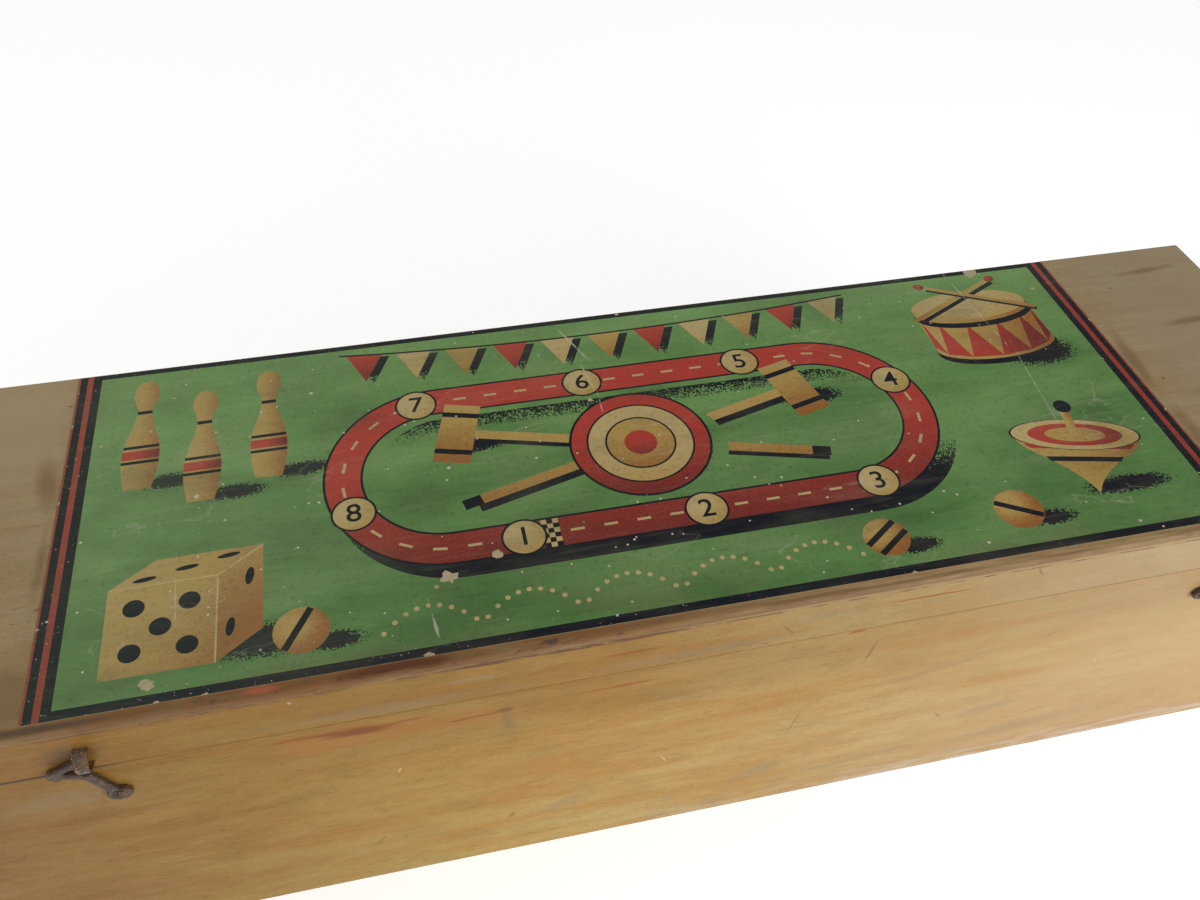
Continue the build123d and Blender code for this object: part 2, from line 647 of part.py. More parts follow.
with BuildPart() as cup_disc:
    with BuildSketch(facing(disc_x, DISC_Y, FLOOR, -1)):
        with BuildLine():
            Polyline(
                (0, 0),
                (DISC_RADIUS, 0),
                (DISC_RADIUS, DISC_EDGE),
                (CUP_RADIUS + DISC_RIM, DISC_HEIGHT),
                (CUP_RADIUS, DISC_HEIGHT),
                (CUP_RADIUS, CUP_FLOOR),
                (0, CUP_FLOOR),
                close=True,
            )
        make_face()
    revolve(axis=Axis((disc_x, DISC_Y, FLOOR), (0, 0, 1)))
write(cup_disc, "cup_disc")

for ball_x, name in ((plain_ball_x, "plain_ball"), (banded_ball_x, "banded_ball")):
    with BuildPart() as ball:
        with Locations((ball_x, BALL_Y, BALL_Z)):
            Sphere(BALL_RADIUS)
    write(ball, name)

for toward, lane, name in ((-1, 0, "left_club"), (1, 1, "right_club")):
    club_y = INNER_BACK - CLUB_GAP - CLUB_RADIUS - lane * (CLUB_WIDTH + CLUB_GAP)
    with BuildPart() as club:
        with BuildLine():
            butt = (-toward * CLUB_BUTT_X, club_y, CLUB_Z)
            shaft = Line(butt, (toward * CLUB_BEND_X, club_y, CLUB_Z), mode=Mode.PRIVATE)
            bend = JernArc(shaft @ 1, shaft % 1, CLUB_BEND_RADIUS, -toward * CLUB_BEND)
            toe = Line(bend @ 1, (bend @ 1) + (bend % 1) * CLUB_TOE)
        with BuildSketch(Plane(shaft @ 1, z_dir=shaft % 1)):
            Circle(CLUB_RADIUS)
        sweep()
        with BuildSketch(Plane(butt, x_dir=(toward, 0, 0), z_dir=(0, -1, 0))):
            with BuildLine():
                knob = CenterArc((0, 0), CLUB_RADIUS, 40, 140)
                Polyline(knob @ 1, (shaft.length, 0), (shaft.length, CLUB_RADIUS), knob @ 0)
            make_face()
        revolve(axis=Axis(butt, (1, 0, 0)))
        with Locations(toe @ 1):
            Sphere(CLUB_RADIUS)
    write(club, name)
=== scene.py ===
import math
import random
from functools import partialmethod

import bpy
from mathutils import Matrix, Vector
from mathutils.geometry import delaunay_2d_cdt


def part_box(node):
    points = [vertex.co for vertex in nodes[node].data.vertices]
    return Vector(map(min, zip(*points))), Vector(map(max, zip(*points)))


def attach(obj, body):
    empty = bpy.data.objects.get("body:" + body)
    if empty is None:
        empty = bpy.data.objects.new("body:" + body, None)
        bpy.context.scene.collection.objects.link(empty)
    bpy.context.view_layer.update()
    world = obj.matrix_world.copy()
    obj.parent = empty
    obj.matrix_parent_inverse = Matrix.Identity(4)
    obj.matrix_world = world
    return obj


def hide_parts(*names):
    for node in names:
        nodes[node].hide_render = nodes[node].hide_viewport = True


# Old wooden game box with a printed label, two swing hooks and the playing pieces inside.
# Metres in the part's own frame: X along the box, Y to the back, Z up.
# The print, the marks and the painted details are laid out in millimetres.

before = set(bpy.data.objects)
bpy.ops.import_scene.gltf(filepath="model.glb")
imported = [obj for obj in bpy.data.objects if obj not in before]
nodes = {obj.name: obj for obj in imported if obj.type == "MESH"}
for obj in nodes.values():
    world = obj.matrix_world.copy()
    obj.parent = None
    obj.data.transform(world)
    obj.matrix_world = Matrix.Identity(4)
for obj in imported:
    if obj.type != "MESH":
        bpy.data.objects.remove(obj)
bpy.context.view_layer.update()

MM = 0.001
BOX_LOW = Vector((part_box("front_board")[0].x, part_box("front_board")[0].y, 0.0))
BOX_HIGH = Vector((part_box("front_board")[1].x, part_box("back_board")[1].y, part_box("lid_top_board")[1].z))
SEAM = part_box("front_board")[1].z
TOP_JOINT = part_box("lid_top_board")[0].z
LABEL_LOW, LABEL_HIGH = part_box("label")
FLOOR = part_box("bottom_board")[1].z
END_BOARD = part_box("left_end_board")[1].x - BOX_LOW.x


# Shader nodes
class Graph:
    """Shader nodes of one material or world: each call adds a node and returns its result."""

    def __init__(self, name, kind=bpy.data.materials):
        self.owner = kind.new(name)
        self.owner.use_nodes = True
        self.tree = self.owner.node_tree
        self.tree.nodes.clear()
        self.place = self.add("ShaderNodeTexCoord").outputs["Object"]

    def feed(self, socket, value):
        if isinstance(value, bpy.types.NodeSocket):
            self.tree.links.new(value, socket)
        else:
            socket.default_value = value

    def add(self, kind, inputs=None, **settings):
        node = self.tree.nodes.new(kind)
        for setting, value in settings.items():
            setattr(node, setting, value)
        for socket, value in (inputs or {}).items():
            self.feed(node.inputs[socket], value)
        return node

    def math(self, operation, *values):
        node = self.add("ShaderNodeMath", operation=operation)
        for socket, value in zip(node.inputs, values):
            self.feed(socket, value)
        return node.outputs[0]

    plus = partialmethod(math, "ADD")
    minus = partialmethod(math, "SUBTRACT")
    over = partialmethod(math, "GREATER_THAN")
    under = partialmethod(math, "LESS_THAN")
    fold = partialmethod(math, "PINGPONG")
    angle = partialmethod(math, "ARCTAN2")

    def chain(self, operation, first, *others):
        for other in others:
            first = self.math(operation, first, other)
        return first

    times = partialmethod(chain, "MULTIPLY")
    most = partialmethod(chain, "MAXIMUM")
    least = partialmethod(chain, "MINIMUM")

    def off(self, value, middle):
        """Distance of a value from its middle."""
        return self.math("ABSOLUTE", self.minus(value, middle))

    def vector(self, operation, *values):
        node = self.add("ShaderNodeVectorMath", operation=operation)
        for socket, value in zip(node.inputs, values):
            self.feed(socket, value)
        return node.outputs["Value" if operation == "LENGTH" else "Vector"]

    def parts(self, vector=None):
        return self.add("ShaderNodeSeparateXYZ", {0: self.place if vector is None else vector}).outputs

    def joined(self, x, y, z=0.0):
        return self.add("ShaderNodeCombineXYZ", {0: x, 1: y, 2: z}).outputs[0]

    def length(self, across, up):
        return self.vector("LENGTH", self.joined(across, up))

    def span(self, value, low, high, to_low=0.0, to_high=1.0, smooth=True):
        """Map low..high to to_low..to_high, held at the ends."""
        kind = "SMOOTHSTEP" if smooth else "LINEAR"
        inputs = {"Value": value, "From Min": low, "From Max": high, "To Min": to_low, "To Max": to_high}
        return self.add("ShaderNodeMapRange", inputs, interpolation_type=kind).outputs["Result"]

    def ramp(self, value, low, high, top=1.0):
        """Rise from 0 to top between low and high."""
        return self.span(value, low, high, 0.0, top)

    def fade(self, value, low, high):
        """Fall from 1 to 0 between low and high."""
        return self.span(value, low, high, 1.0, 0.0)

    def mix(self, factor, a, b, blend="MIX"):
        node = self.add("ShaderNodeMix", data_type="RGBA", blend_type=blend)
        for socket, value in zip((node.inputs[0], node.inputs[6], node.inputs[7]), (factor, a, b)):
            self.feed(socket, (*value, 1.0) if isinstance(value, tuple) else value)
        return node.outputs[2]

    def lay(self, colour, *layers, blend="MIX"):
        """Lay tones over a colour. A layer is (mask, tone), or a ramp's values and then the tone."""
        for *mask, tone in layers:
            factor = self.ramp(*mask) if len(mask) > 1 else mask[0]
            colour = self.mix(factor, colour, tone, blend)
        return colour

    def noise(self, place, scale, detail=3.0, roughness=0.5):
        """Noise about 0.5, with its own scale along each axis."""
        scaled = self.vector("MULTIPLY", place, scale)
        inputs = {"Vector": scaled, "Scale": 1.0, "Detail": detail, "Roughness": roughness}
        return self.add("ShaderNodeTexNoise", inputs).outputs[0]

    def shake(self, scale, reach, detail=4.0):
        """Noise about zero, to make an outline uneven."""
        return self.times(self.minus(self.noise(self.place, scale, detail), 0.5), reach)

    def cells(self, place, scale):
        """(distance to the nearest random point, a random number for its cell), in scaled units."""
        scaled = self.vector("MULTIPLY", place, scale)
        node = self.add("ShaderNodeTexVoronoi", {"Vector": scaled, "Scale": 1.0})
        return node.outputs["Distance"], self.parts(node.outputs["Color"])[0]

    def dots(self, place, scale, radius, edge, share):
        """Soft dots at random points, kept in this share of the cells."""
        gap, pick = self.cells(place, scale)
        return self.times(self.fade(gap, radius, edge), self.over(pick, 1.0 - share))

    def spots(self, face, marks, strength, edge, wobble=None):
        """Soft spots on one face as one mask. A mark is its centre, half length and half width in
        millimetres, and its turn in degrees."""
        upright, level = face
        masks = []
        for x, across, long, wide, degrees in marks:
            centre, half_sizes, turn = [x * MM, across * MM], [long * MM, wide * MM], [0.0, 0.0, 0.0]
            centre.insert(upright, level)
            half_sizes.insert(upright, 1.0)
            turn[upright] = math.radians(degrees if upright == 2 else -degrees)
            inputs = {"Vector": self.place, "Location": centre, "Rotation": turn, "Scale": half_sizes}
            mapping = self.add("ShaderNodeMapping", inputs, vector_type="TEXTURE")
            reach = self.vector("LENGTH", mapping.outputs[0])
            if wobble is not None:
                reach = self.plus(reach, wobble)
            masks.append(self.fade(reach, 1.0 - edge, 1.0))
        return self.times(self.most(*masks), strength)

    def output(self, shader, kind="Material"):
        self.add(f"ShaderNodeOutput{kind}", {"Surface": shader.outputs[0]})
        return self.owner

    def finish(self, colour, roughness, height, depth, **constants):
        """Join colour, roughness and bump into one shader. The constants sit on its own sockets."""
        bump = self.add("ShaderNodeBump", {"Height": height, "Distance": depth, "Strength": 1.0})
        inputs = {"Base Color": colour, "Roughness": roughness, "Normal": bump.outputs["Normal"]}
        shader = self.add("ShaderNodeBsdfPrincipled", inputs)
        for words, value in constants.items():
            shader.inputs[words.replace("_", " ")].default_value = value
        return self.output(shader)


def placed(name, data):
    """A new object in the scene."""
    item = bpy.data.objects.new(name, data)
    bpy.context.scene.collection.objects.link(item)
    return item


def dress(material, *names):
    for name in names:
        mesh = nodes[name].data
        mesh.materials.clear()
        mesh.materials.append(material)


# Wood
def face_gaps(g):
    """Depth of a point under each pair of outer faces of the box."""
    gaps = []
    for place, low, high in zip(g.parts(), BOX_LOW, BOX_HIGH):
        middle, half = (low + high) / 2, (high - low) / 2
        gaps.append(g.minus(half, g.off(place, middle)))
    return gaps


def wood_grain(g, along, seed):
    """Soft patches, figure, fibres and mottling, stretched along the grain, and short dark flecks."""
    x, y, z = g.parts(g.vector("ADD", g.place, (seed, seed * 2.3, seed * 4.1)))
    length, across, through = {"X": (x, y, z), "Y": (y, x, z)}[along]
    level = g.joined(length, across, through)
    sway = g.times(g.minus(g.noise(level, (5.0, 12.0, 12.0), 3.0), 0.5), 0.014)
    grain = g.joined(length, g.plus(across, sway), g.plus(through, sway))
    patches = g.noise(grain, (9.0, 52.0, 52.0), 4.0, 0.6)
    figure = g.noise(grain, (24.0, 190.0, 190.0), 5.0, 0.6)
    fibres = g.noise(grain, (170.0, 1100.0, 1100.0), 3.0, 0.65)
    mottle = g.noise(level, (36.0, 60.0, 60.0), 5.0, 0.66)
    flecks = g.dots(grain, (95.0, 600.0, 600.0), 0.12, 0.26, 0.06)
    speckle = g.noise(level, (520.0, 900.0, 900.0), 2.0, 0.6)
    return patches, figure, fibres, mottle, flecks, speckle


def nail_heads(g):
    """Small dark nail heads in a row near each end, where the long boards meet the end boards."""
    x, _, z = g.parts()
    pitch, radius, edge = 0.041, 0.0012, 0.0016
    step = g.minus(g.math("MODULO", z, pitch), pitch / 2)
    out = g.minus(g.off(x, 0.0), BOX_HIGH.x - END_BOARD / 2)
    return g.fade(g.length(out, step), radius, edge)


def wood(name, tones, along, seed, marks, gloss, nails=False):
    """Aged softwood. Its tones are light, warm, dark and grey, and marks adds what one board has."""
    light, warm, dark, grey = tones
    g = Graph(name)
    patches, figure, fibres, mottle, flecks, speckle = wood_grain(g, along, seed)
    gaps = face_gaps(g)
    arris = g.most(g.least(gaps[0], gaps[1]), g.least(g.most(gaps[0], gaps[1]), gaps[2]))
    worn = g.span(g.plus(arris, g.span(mottle, 0.3, 0.7, -0.002, 0.002)), 0.0, 0.004, 0.15, 0.0)
    colour = g.lay(
        light,
        (patches, 0.36, 0.64, warm),
        (figure, 0.50, 0.76, 0.28, dark),
        (mottle, 0.48, 0.70, 0.46, grey),
        (fibres, 0.50, 0.78, 0.34, dark),
        (fibres, 0.46, 0.25, 0.30, light),
        (g.times(flecks, 0.5), dark),
        (speckle, 0.50, 0.75, 0.30, dark),
        (speckle, 0.48, 0.25, 0.22, light),
        (worn, grey),
    )
    height = g.plus(g.times(figure, 0.5), g.times(fibres, 0.4))
    height = g.minus(height, g.times(flecks, 0.4))
    if nails:
        nail = nail_heads(g)
        colour = g.mix(nail, colour, (0.06, 0.045, 0.04))
        height = g.minus(height, nail)
    if marks:
        colour, height = marks(g, colour, height)
    clean = g.lay(
        INNER_LIGHT,
        (patches, 0.35, 0.68, 0.55, INNER_DARK),
        (figure, 0.50, 0.80, 0.30, INNER_DARK),
        (fibres, 0.45, 0.80, 0.25, INNER_DARK),
    )
    colour = g.lay(colour, (g.least(*gaps), 0.0035, 0.006, 0.8, clean))
    roughness = g.span(g.plus(mottle, fibres), 0.7, 1.3, gloss - 0.08, gloss + 0.10)
    return g.finish(colour, roughness, height, 0.00025, Specular_IOR_Level=0.25)


# Faces that carry marks: the axis they face along and their place on it
FRONT, TOP, SHEET = (1, BOX_LOW.y), (2, BOX_HIGH.z), (2, LABEL_HIGH.z)

# Marks on the front: centre x, centre z, half length, half width in millimetres, and turn in degrees
DARK_SCRATCHES = [
    (-80, 79, 18, 0.7, 12), (64, 88, 14, 0.6, 78), (-168, 45, 9, 0.6, 50), (-265, 111, 9, 0.6, 12),
    (47, 183, 9, 0.7, -52), (97, 150, 16, 1.2, 80), (36, 175, 3, 0.8, 20), (52, 167, 3, 1.0, 10),
    (178, 196, 5, 1.2, -60), (182, 205, 6, 1.0, -75), (-96, 44, 5, 1.6, 60), (-212, 86, 5, 0.5, 15),
    (130, 70, 4, 0.7, 30), (158, 63, 5, 0.8, -50), (206, 132, 7, 0.6, 24), (225, 46, 22, 0.5, 8),
    (-240, 64, 4, 0.6, 40), (12, 118, 3, 0.7, 20), (-20, 150, 4, 0.6, 14), (262, 98, 6, 0.6, 30),
]
PALE_SCRATCHES = [
    (-10, 76, 6, 0.6, -66), (-150, 118, 3, 0.9, 70), (-190, 196, 1.2, 1, 0), (250, 92, 1, 0.9, 0),
]
RED_STAINS = [
    (-166, 162.4, 26, 5.2, -3), (-188, 164.6, 26, 1.8, 3), (-148, 163.5, 22, 1.4, 3),
    (-150, 202.5, 46, 2.6, 0), (-113, 203.4, 60, 2.2, 0), (-105, 156.0, 18, 1.5, 2),
    (-298, 82.0, 9, 1.2, 3), (85, 170.6, 7, 1.3, 0), (-30, 188.0, 24, 1.6, 1), (118, 191.5, 30, 0.8, 0),
    (-40, 160.0, 26, 1.2, 1),
]
DARK_CORES = [
    (-163, 162.0, 19, 5.2, -3), (-178, 163.8, 15, 1.3, 2), (-136, 203.4, 34, 2.2, 0),
    (-92, 200.6, 8, 1.2, 0), (-60, 199.4, 22, 1.0, 0), (-95, 157.5, 7, 2.0, 0),
    (-118, 155.5, 8, 0.8, 0),
]
ORANGE_PATCHES = [
    (-150, 156, 95, 15, 0), (-20, 160, 90, 9, 1), (-250, 120, 60, 8, 0), (20, 110, 120, 10, 1),
    (140, 150, 90, 9, 1), (-80, 100, 70, 9, 0), (190, 96, 60, 8, 0),
]
GREY_BLOTCHES = [
    (-112, 189, 24, 3, 1), (182, 206, 13, 6, 0), (60, 190, 30, 5, 0), (-66, 46, 26, 8, 12),
    (44, 36, 30, 9, 16), (190, 60, 40, 7, 10), (150, 120, 60, 5, 12), (-150, 178, 110, 6, 0),
    (-300, 150, 40, 12, 0), (0, 178, 90, 5, 0), (230, 30, 80, 10, 6), (110, 28, 60, 6, 3),
]


def front_marks(g, colour, height):
    """Stains, scratches, dents and joint dirt that time left on the front plank, and painted shade."""
    x, _, z = g.parts()
    rough_edge = g.shake((34.0, 34.0, 420.0), 1.3)
    soft_edge = g.shake((30.0, 30.0, 90.0), 1.2)
    at_seam = (SEAM - 0.001, SEAM + 0.004)
    rail = g.times(g.span(z, *at_seam), g.span(x, -0.30, -0.12, 0.15, 1.0))
    rail_tone = g.mix(g.span(x, -0.02, 0.15), (0.76, 0.74, 0.70), (0.82, 0.90, 1.02))
    under = g.times(g.span(z, 0.115, 0.158), g.fade(z, *at_seam))
    under = g.times(under, g.span(x, -0.24, -0.12, 0.3, 1.0), g.span(x, 0.02, 0.12, 1.0, 0.75))
    corner = g.times(g.span(x, 0.15, 0.28), g.span(z, 0.10, 0.03))
    bottom = g.times(g.span(z, 0.034, 0.008), g.span(x, 0.05, -0.08))
    # Darker towards the left: partly the plank's own tone, partly painted shade from light that comes from
    # the right. Golden in the middle.
    left, middle = (g.fade(x, -0.38, 0.00), (0.58, 0.49, 0.30)), (x, 0.04, -0.14, (1.03, 1.00, 0.76))
    colour = g.lay(colour, left, middle, blend="MULTIPLY")
    # Paler and pinker towards the right: partly the plank's own tone, partly a painted sheen from the light
    # on the right.
    colour = g.lay(colour, (x, 0.00, 0.30, 0.66, (0.525, 0.375, 0.205)))
    colour = g.lay(
        colour,
        # Painted shade: darker above the lowest 5 to 12 cm, which take more light off the floor.
        (z, 0.05, 0.12, (0.92, 0.88, 0.80)),
        (rail, rail_tone),
        (under, (0.77, 0.76, 0.74)),
        (corner, (0.93, 0.85, 0.75)),
        (bottom, (1.10, 1.24, 1.50)),
        blend="MULTIPLY",
    )

    scratched = g.spots(FRONT, DARK_SCRATCHES, 0.5, 0.7, rough_edge)
    scuffs = g.noise(g.place, (30.0, 30.0, 220.0), 4.0, 0.6)
    foot = g.times(g.span(z, 0.0, 0.022, 0.75, 0.0), g.span(x, -0.1, 0.2), g.span(scuffs, 0.42, 0.62))
    seam_gap = g.plus(g.off(z, SEAM), g.times(soft_edge, 0.0006))
    seam = g.times(g.fade(seam_gap, 0.0005, 0.0014), g.span(x, -0.283, -0.262, 0.85, 0.05))
    colour = g.lay(
        colour,
        (g.spots(FRONT, ORANGE_PATCHES, 0.45, 0.9, soft_edge), (0.40, 0.185, 0.038)),
        (g.spots(FRONT, GREY_BLOTCHES, 0.36, 0.9, soft_edge), (0.27, 0.205, 0.115)),
        (g.spots(FRONT, [(-150, 160, 75, 12, -1)], 0.55, 0.9, soft_edge), (0.38, 0.150, 0.025)),
        (g.spots(FRONT, RED_STAINS, 0.95, 0.6, rough_edge), (0.29, 0.092, 0.008)),
        (g.spots(FRONT, DARK_CORES, 0.9, 0.7, g.times(rough_edge, 0.45)), (0.20, 0.062, 0.008)),
        (g.spots(FRONT, [(-94, 150, 5, 22, 4)], 0.4, 0.95), (0.16, 0.11, 0.05)),
        (scratched, (0.13, 0.08, 0.045)),
        (g.spots(FRONT, PALE_SCRATCHES, 0.6, 0.5), (0.62, 0.52, 0.36)),
        # Painted shadow: a dark patch round the left staple.
        (g.spots(FRONT, [(-288, 185, 19, 15, 20)], 0.5, 0.9, soft_edge), (0.07, 0.05, 0.035)),
        (foot, (0.58, 0.50, 0.42)),
        (seam, (0.08, 0.045, 0.025)),
    )
    return joint_dirt(g, colour, g.minus(height, scratched))


def joint_dirt(g, colour, height):
    """Broken dirt line at the top board's joint and dark, rubbed dirt on the front arris."""
    x, y, z = g.parts()
    outside = g.fade(y, BOX_LOW.y + 0.0045, BOX_LOW.y + 0.0060)
    darkest = g.fade(g.off(x, -0.065), 0.030, 0.065)
    away = g.minus(g.off(z, TOP_JOINT), g.times(darkest, 0.0009))
    broken = g.plus(g.noise(g.place, (90.0, 20.0, 700.0), 4.0, 0.7), g.times(darkest, 0.07))
    line = g.times(g.fade(away, 0.0001, 0.0008), g.span(broken, 0.46, 0.56), outside, 0.85)
    rub = g.noise(g.place, (18.0, 120.0, 120.0), 5.0, 0.68)
    spots = g.noise(g.place, (110.0, 260.0, 260.0), 4.0, 0.6)
    along = g.span(g.off(x, -0.14), 0.08, 0.18, 1.0, 0.22)
    where = g.times(along, g.span(z, TOP_JOINT - 0.004, TOP_JOINT + 0.004), outside)
    dark = g.times(g.span(spots, 0.58, 0.70), where, 0.75)
    colour = g.lay(
        colour,
        (line, (0.07, 0.028, 0.014)),
        (g.times(g.span(rub, 0.34, 0.52), where, 0.85), (0.18, 0.072, 0.018)),
        (dark, (0.05, 0.035, 0.035)),
    )
    return colour, g.minus(height, dark)


TOP_STAINS = [
    (-307, 34, 8, 34, 8), (-306, -92, 24, 30, -30), (-303, -20, 5, 40, 0), (305, 10, 6, 50, -4),
    (305, -60, 7, 50, 0), (362, 92, 34, 4, 4), (366, 40, 30, 4, 3), (336, -20, 30, 7, 2),
]


def top_marks(g, colour, height):
    """The lid's top: dirt on the bare front strip, glue stains beside the label, small dents."""
    x, y, z = g.parts()
    upper = g.span(z, TOP_JOINT + 0.001, TOP_JOINT + 0.003)
    shaky = g.shake((35.0, 35.0, 35.0), 1.3)
    rub = g.noise(g.place, (14.0, 220.0, 60.0), 5.0, 0.65)
    dents = g.times(g.dots(g.place, (60.0, 95.0, 1.0), 0.05, 0.11, 0.20), upper)
    pale = g.times(g.dots(g.place, (90.0, 120.0, 2.0), 0.04, 0.08, 0.08), upper)
    edge = g.span(y, BOX_LOW.y + 0.0040, BOX_LOW.y + 0.0075, 0.75, 0.0)
    edge_tone = g.mix(g.span(x, -0.30, 0.30), (0.27, 0.155, 0.045), (0.43, 0.29, 0.125))
    strip = g.times(g.fade(y, LABEL_LOW.y - 0.003, LABEL_LOW.y + 0.001), upper)
    colour = g.lay(
        colour,
        (g.times(g.span(x, 0.30, 0.34), upper, 0.45), (0.31, 0.250, 0.165)),
        (g.times(g.span(x, -0.29, -0.31), g.span(y, -0.02, 0.08), upper, 0.6), (0.40, 0.31, 0.175)),
        (g.times(g.spots(TOP, TOP_STAINS, 0.62, 0.9, shaky), upper), (0.17, 0.090, 0.030)),
        (g.times(dents, 0.6), (0.08, 0.055, 0.035)),
        (g.times(pale, 0.7), (0.50, 0.44, 0.33)),
        (edge, edge_tone),
        (g.times(strip, g.span(rub, 0.32, 0.58), 0.75), (0.15, 0.078, 0.032)),
    )
    colour, height = joint_dirt(g, colour, g.minus(height, dents))
    grime = g.spots(TOP, [(-290, -112.5, 40, 3.0, 0)], 0.6, 0.8, shaky)
    burn = g.spots(TOP, [(-140, -112.5, 36, 4.0, 1)], 1.0, 0.7, shaky)
    smear = g.spots(TOP, [(-201, -112.0, 10, 2.4, 0)], 0.7, 0.6, shaky)
    colour = g.lay(
        colour,
        (g.times(grime, upper), (0.06, 0.045, 0.035)),
        (g.times(burn, upper, g.span(rub, 0.30, 0.55, 0.35, 0.95)), (0.10, 0.032, 0.010)),
        (g.times(smear, upper), (0.42, 0.10, 0.05)),
    )
    return colour, height


INNER_LIGHT, INNER_DARK = (0.56, 0.42, 0.22), (0.40, 0.26, 0.11)
FRONT_TONES = ((0.52, 0.345, 0.118), (0.47, 0.250, 0.050), (0.24, 0.125, 0.035), (0.34, 0.250, 0.115))
TOP_TONES = ((0.350, 0.252, 0.126), (0.312, 0.204, 0.088), (0.16, 0.102, 0.046), (0.31, 0.245, 0.150))
BACK_TONES = ((0.45, 0.32, 0.14), (0.40, 0.26, 0.095), (0.24, 0.15, 0.06), (0.38, 0.30, 0.18))

front_wood = wood("front_wood", FRONT_TONES, "X", 0.0, front_marks, 0.45, nails=True)
top_wood = wood("top_wood", TOP_TONES, "X", 3.1, top_marks, 0.5)
back_wood = wood("back_wood", BACK_TONES, "X", 7.7, None, 0.55, nails=True)
end_wood = wood("end_wood", BACK_TONES, "Y", 5.2, None, 0.55)
dress(front_wood, "front_board", "lid_front_rail")
dress(top_wood, "lid_top_board")
dress(back_wood, "back_board", "lid_back_rail", "bottom_board")
dress(end_wood, "left_end_board", "right_end_board", "lid_left_rail", "lid_right_rail")


# Metal
def metal(name, tones, metallic, roughness, grain):
    """Old metal: tones are the body, the rust or tarnish, and the rubbed spots that are also painted
    highlights.
    """
    body, rust, rubbed_spots_and_highlights = tones
    g = Graph(name)
    pits = g.noise(g.place, (grain, grain, grain), 5.0, 0.65)
    patches = g.noise(g.place, (grain / 5, grain / 5, grain / 5), 3.0)
    # The last tone, on the high pits, is rubbed metal and painted highlight at once.
    colour = g.lay(body, (patches, 0.42, 0.62, rust), (pits, 0.56, 0.70, 0.85, rubbed_spots_and_highlights))
    shine = g.span(pits, 0.35, 0.7, roughness + 0.15, roughness - 0.1)
    return g.finish(colour, shine, pits, 0.0003, Metallic=metallic, Specular_IOR_Level=0.4)


IRON_TONES = ((0.054, 0.034, 0.026), (0.105, 0.056, 0.028), (0.36, 0.24, 0.14))
STAPLE_TONES = ((0.088, 0.058, 0.042), (0.16, 0.086, 0.040), (0.54, 0.44, 0.28))
STEEL_TONES = ((0.24, 0.21, 0.17), (0.17, 0.12, 0.08), (0.42, 0.38, 0.32))
iron = metal("rusty_iron", IRON_TONES, 0.25, 0.40, 900.0)
staple_iron = metal("staple_iron", STAPLE_TONES, 0.35, 0.38, 800.0)
steel = metal("hinge_steel", STEEL_TONES, 0.85, 0.42, 700.0)
dress(iron, "left_hook", "right_hook", "hook_screws")
dress(staple_iron, "left_staple", "right_staple")
dress(steel, "case_hinge_leaves", "lid_hinge_leaves", "hinge_pins", "case_hinge_screws", "lid_hinge_screws")


# Playing pieces
PAINT_BLACK, PAINT_RED, PAINT_CREAM = (0.022, 0.020, 0.020), (0.42, 0.045, 0.022), (0.62, 0.52, 0.34)
TOY_LIGHT, TOY_WARM, TOY_DARK = (0.58, 0.40, 0.185), (0.52, 0.32, 0.12), (0.34, 0.19, 0.075)


def varnished(name, seed, paint):
    """Varnished beech with small flecks. paint(g, x, y, z) returns (mask, colour) layers in metres."""
    g = Graph(name)
    level = g.vector("ADD", g.place, (seed, seed * 1.7, seed * 2.9))
    figure = g.noise(level, (14.0, 120.0, 120.0), 4.0, 0.55)
    fibres = g.noise(level, (90.0, 900.0, 900.0), 3.0, 0.6)
    rub = g.noise(level, (70.0, 70.0, 70.0), 5.0, 0.65)
    flecks = g.dots(level, (260.0, 900.0, 900.0), 0.2, 0.32, 0.3)
    colour = g.lay(
        TOY_LIGHT,
        (figure, 0.35, 0.68, TOY_WARM),
        (fibres, 0.5, 0.8, 0.25, TOY_DARK),
        (g.times(flecks, 0.35), TOY_DARK),
    )
    kept = g.span(rub, 0.66, 0.60, 0.25, 1.0)
    for mask, tone in paint(g, *g.parts()) if paint else ():
        colour = g.mix(g.times(mask, kept), colour, tone)
    colour = g.lay(colour, (rub, 0.60, 0.72, 0.3, (0.22, 0.15, 0.08)))
    height = g.plus(g.times(fibres, 0.4), g.times(rub, 0.3))
    coat = {"Specular_IOR_Level": 0.45, "Coat_Weight": 0.15, "Coat_Roughness": 0.2}
    return g.finish(colour, g.span(rub, 0.35, 0.7, 0.26, 0.48), height, 0.00015, **coat)


def within(g, value, low, high):
    """1 between two places, else 0."""
    soft = 0.0003
    return g.least(g.span(value, low, low + soft), g.fade(value, high - soft, high))


def box_middle(name):
    low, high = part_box(name)
    return (low + high) / 2


SPRING, DOT_RADIUS, ARCH_PITCH = FLOOR + 0.022, 0.0295, 0.062


def banded_feet(name, steps=(), radius=DOT_RADIUS):
    """Slanted black and cream bands on the posts, and red dots over the openings, which stand
    so many arch pitches from the middle."""
    low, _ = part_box(name)
    pitch, turn_step = 0.009, math.pi / 8

    def paint(g, x, y, z):
        face = g.fade(y, low.y + 0.0004, low.y + 0.0008)
        foot = g.times(within(g, z, FLOOR + 0.004, FLOOR + 0.019), face)
        stripes = g.over(g.fold(g.plus(x, g.times(z, 0.8)), pitch / 2), pitch / 4)
        layers = [(foot, PAINT_CREAM), (g.times(foot, stripes), PAINT_BLACK)]
        for step in steps:
            across, up = g.minus(x, box_middle(name).x + step * ARCH_PITCH), g.minus(z, SPRING)
            turn = g.fold(g.angle(up, across), turn_step / 2)
            slip = g.times(g.minus(turn, turn_step / 2), radius)
            out = g.minus(g.length(across, up), radius)
            dot = g.fade(g.length(out, slip), 0.0019, 0.0023)
            layers.append((g.times(dot, g.over(up, -0.002), face), PAINT_RED))
        return layers

    return paint


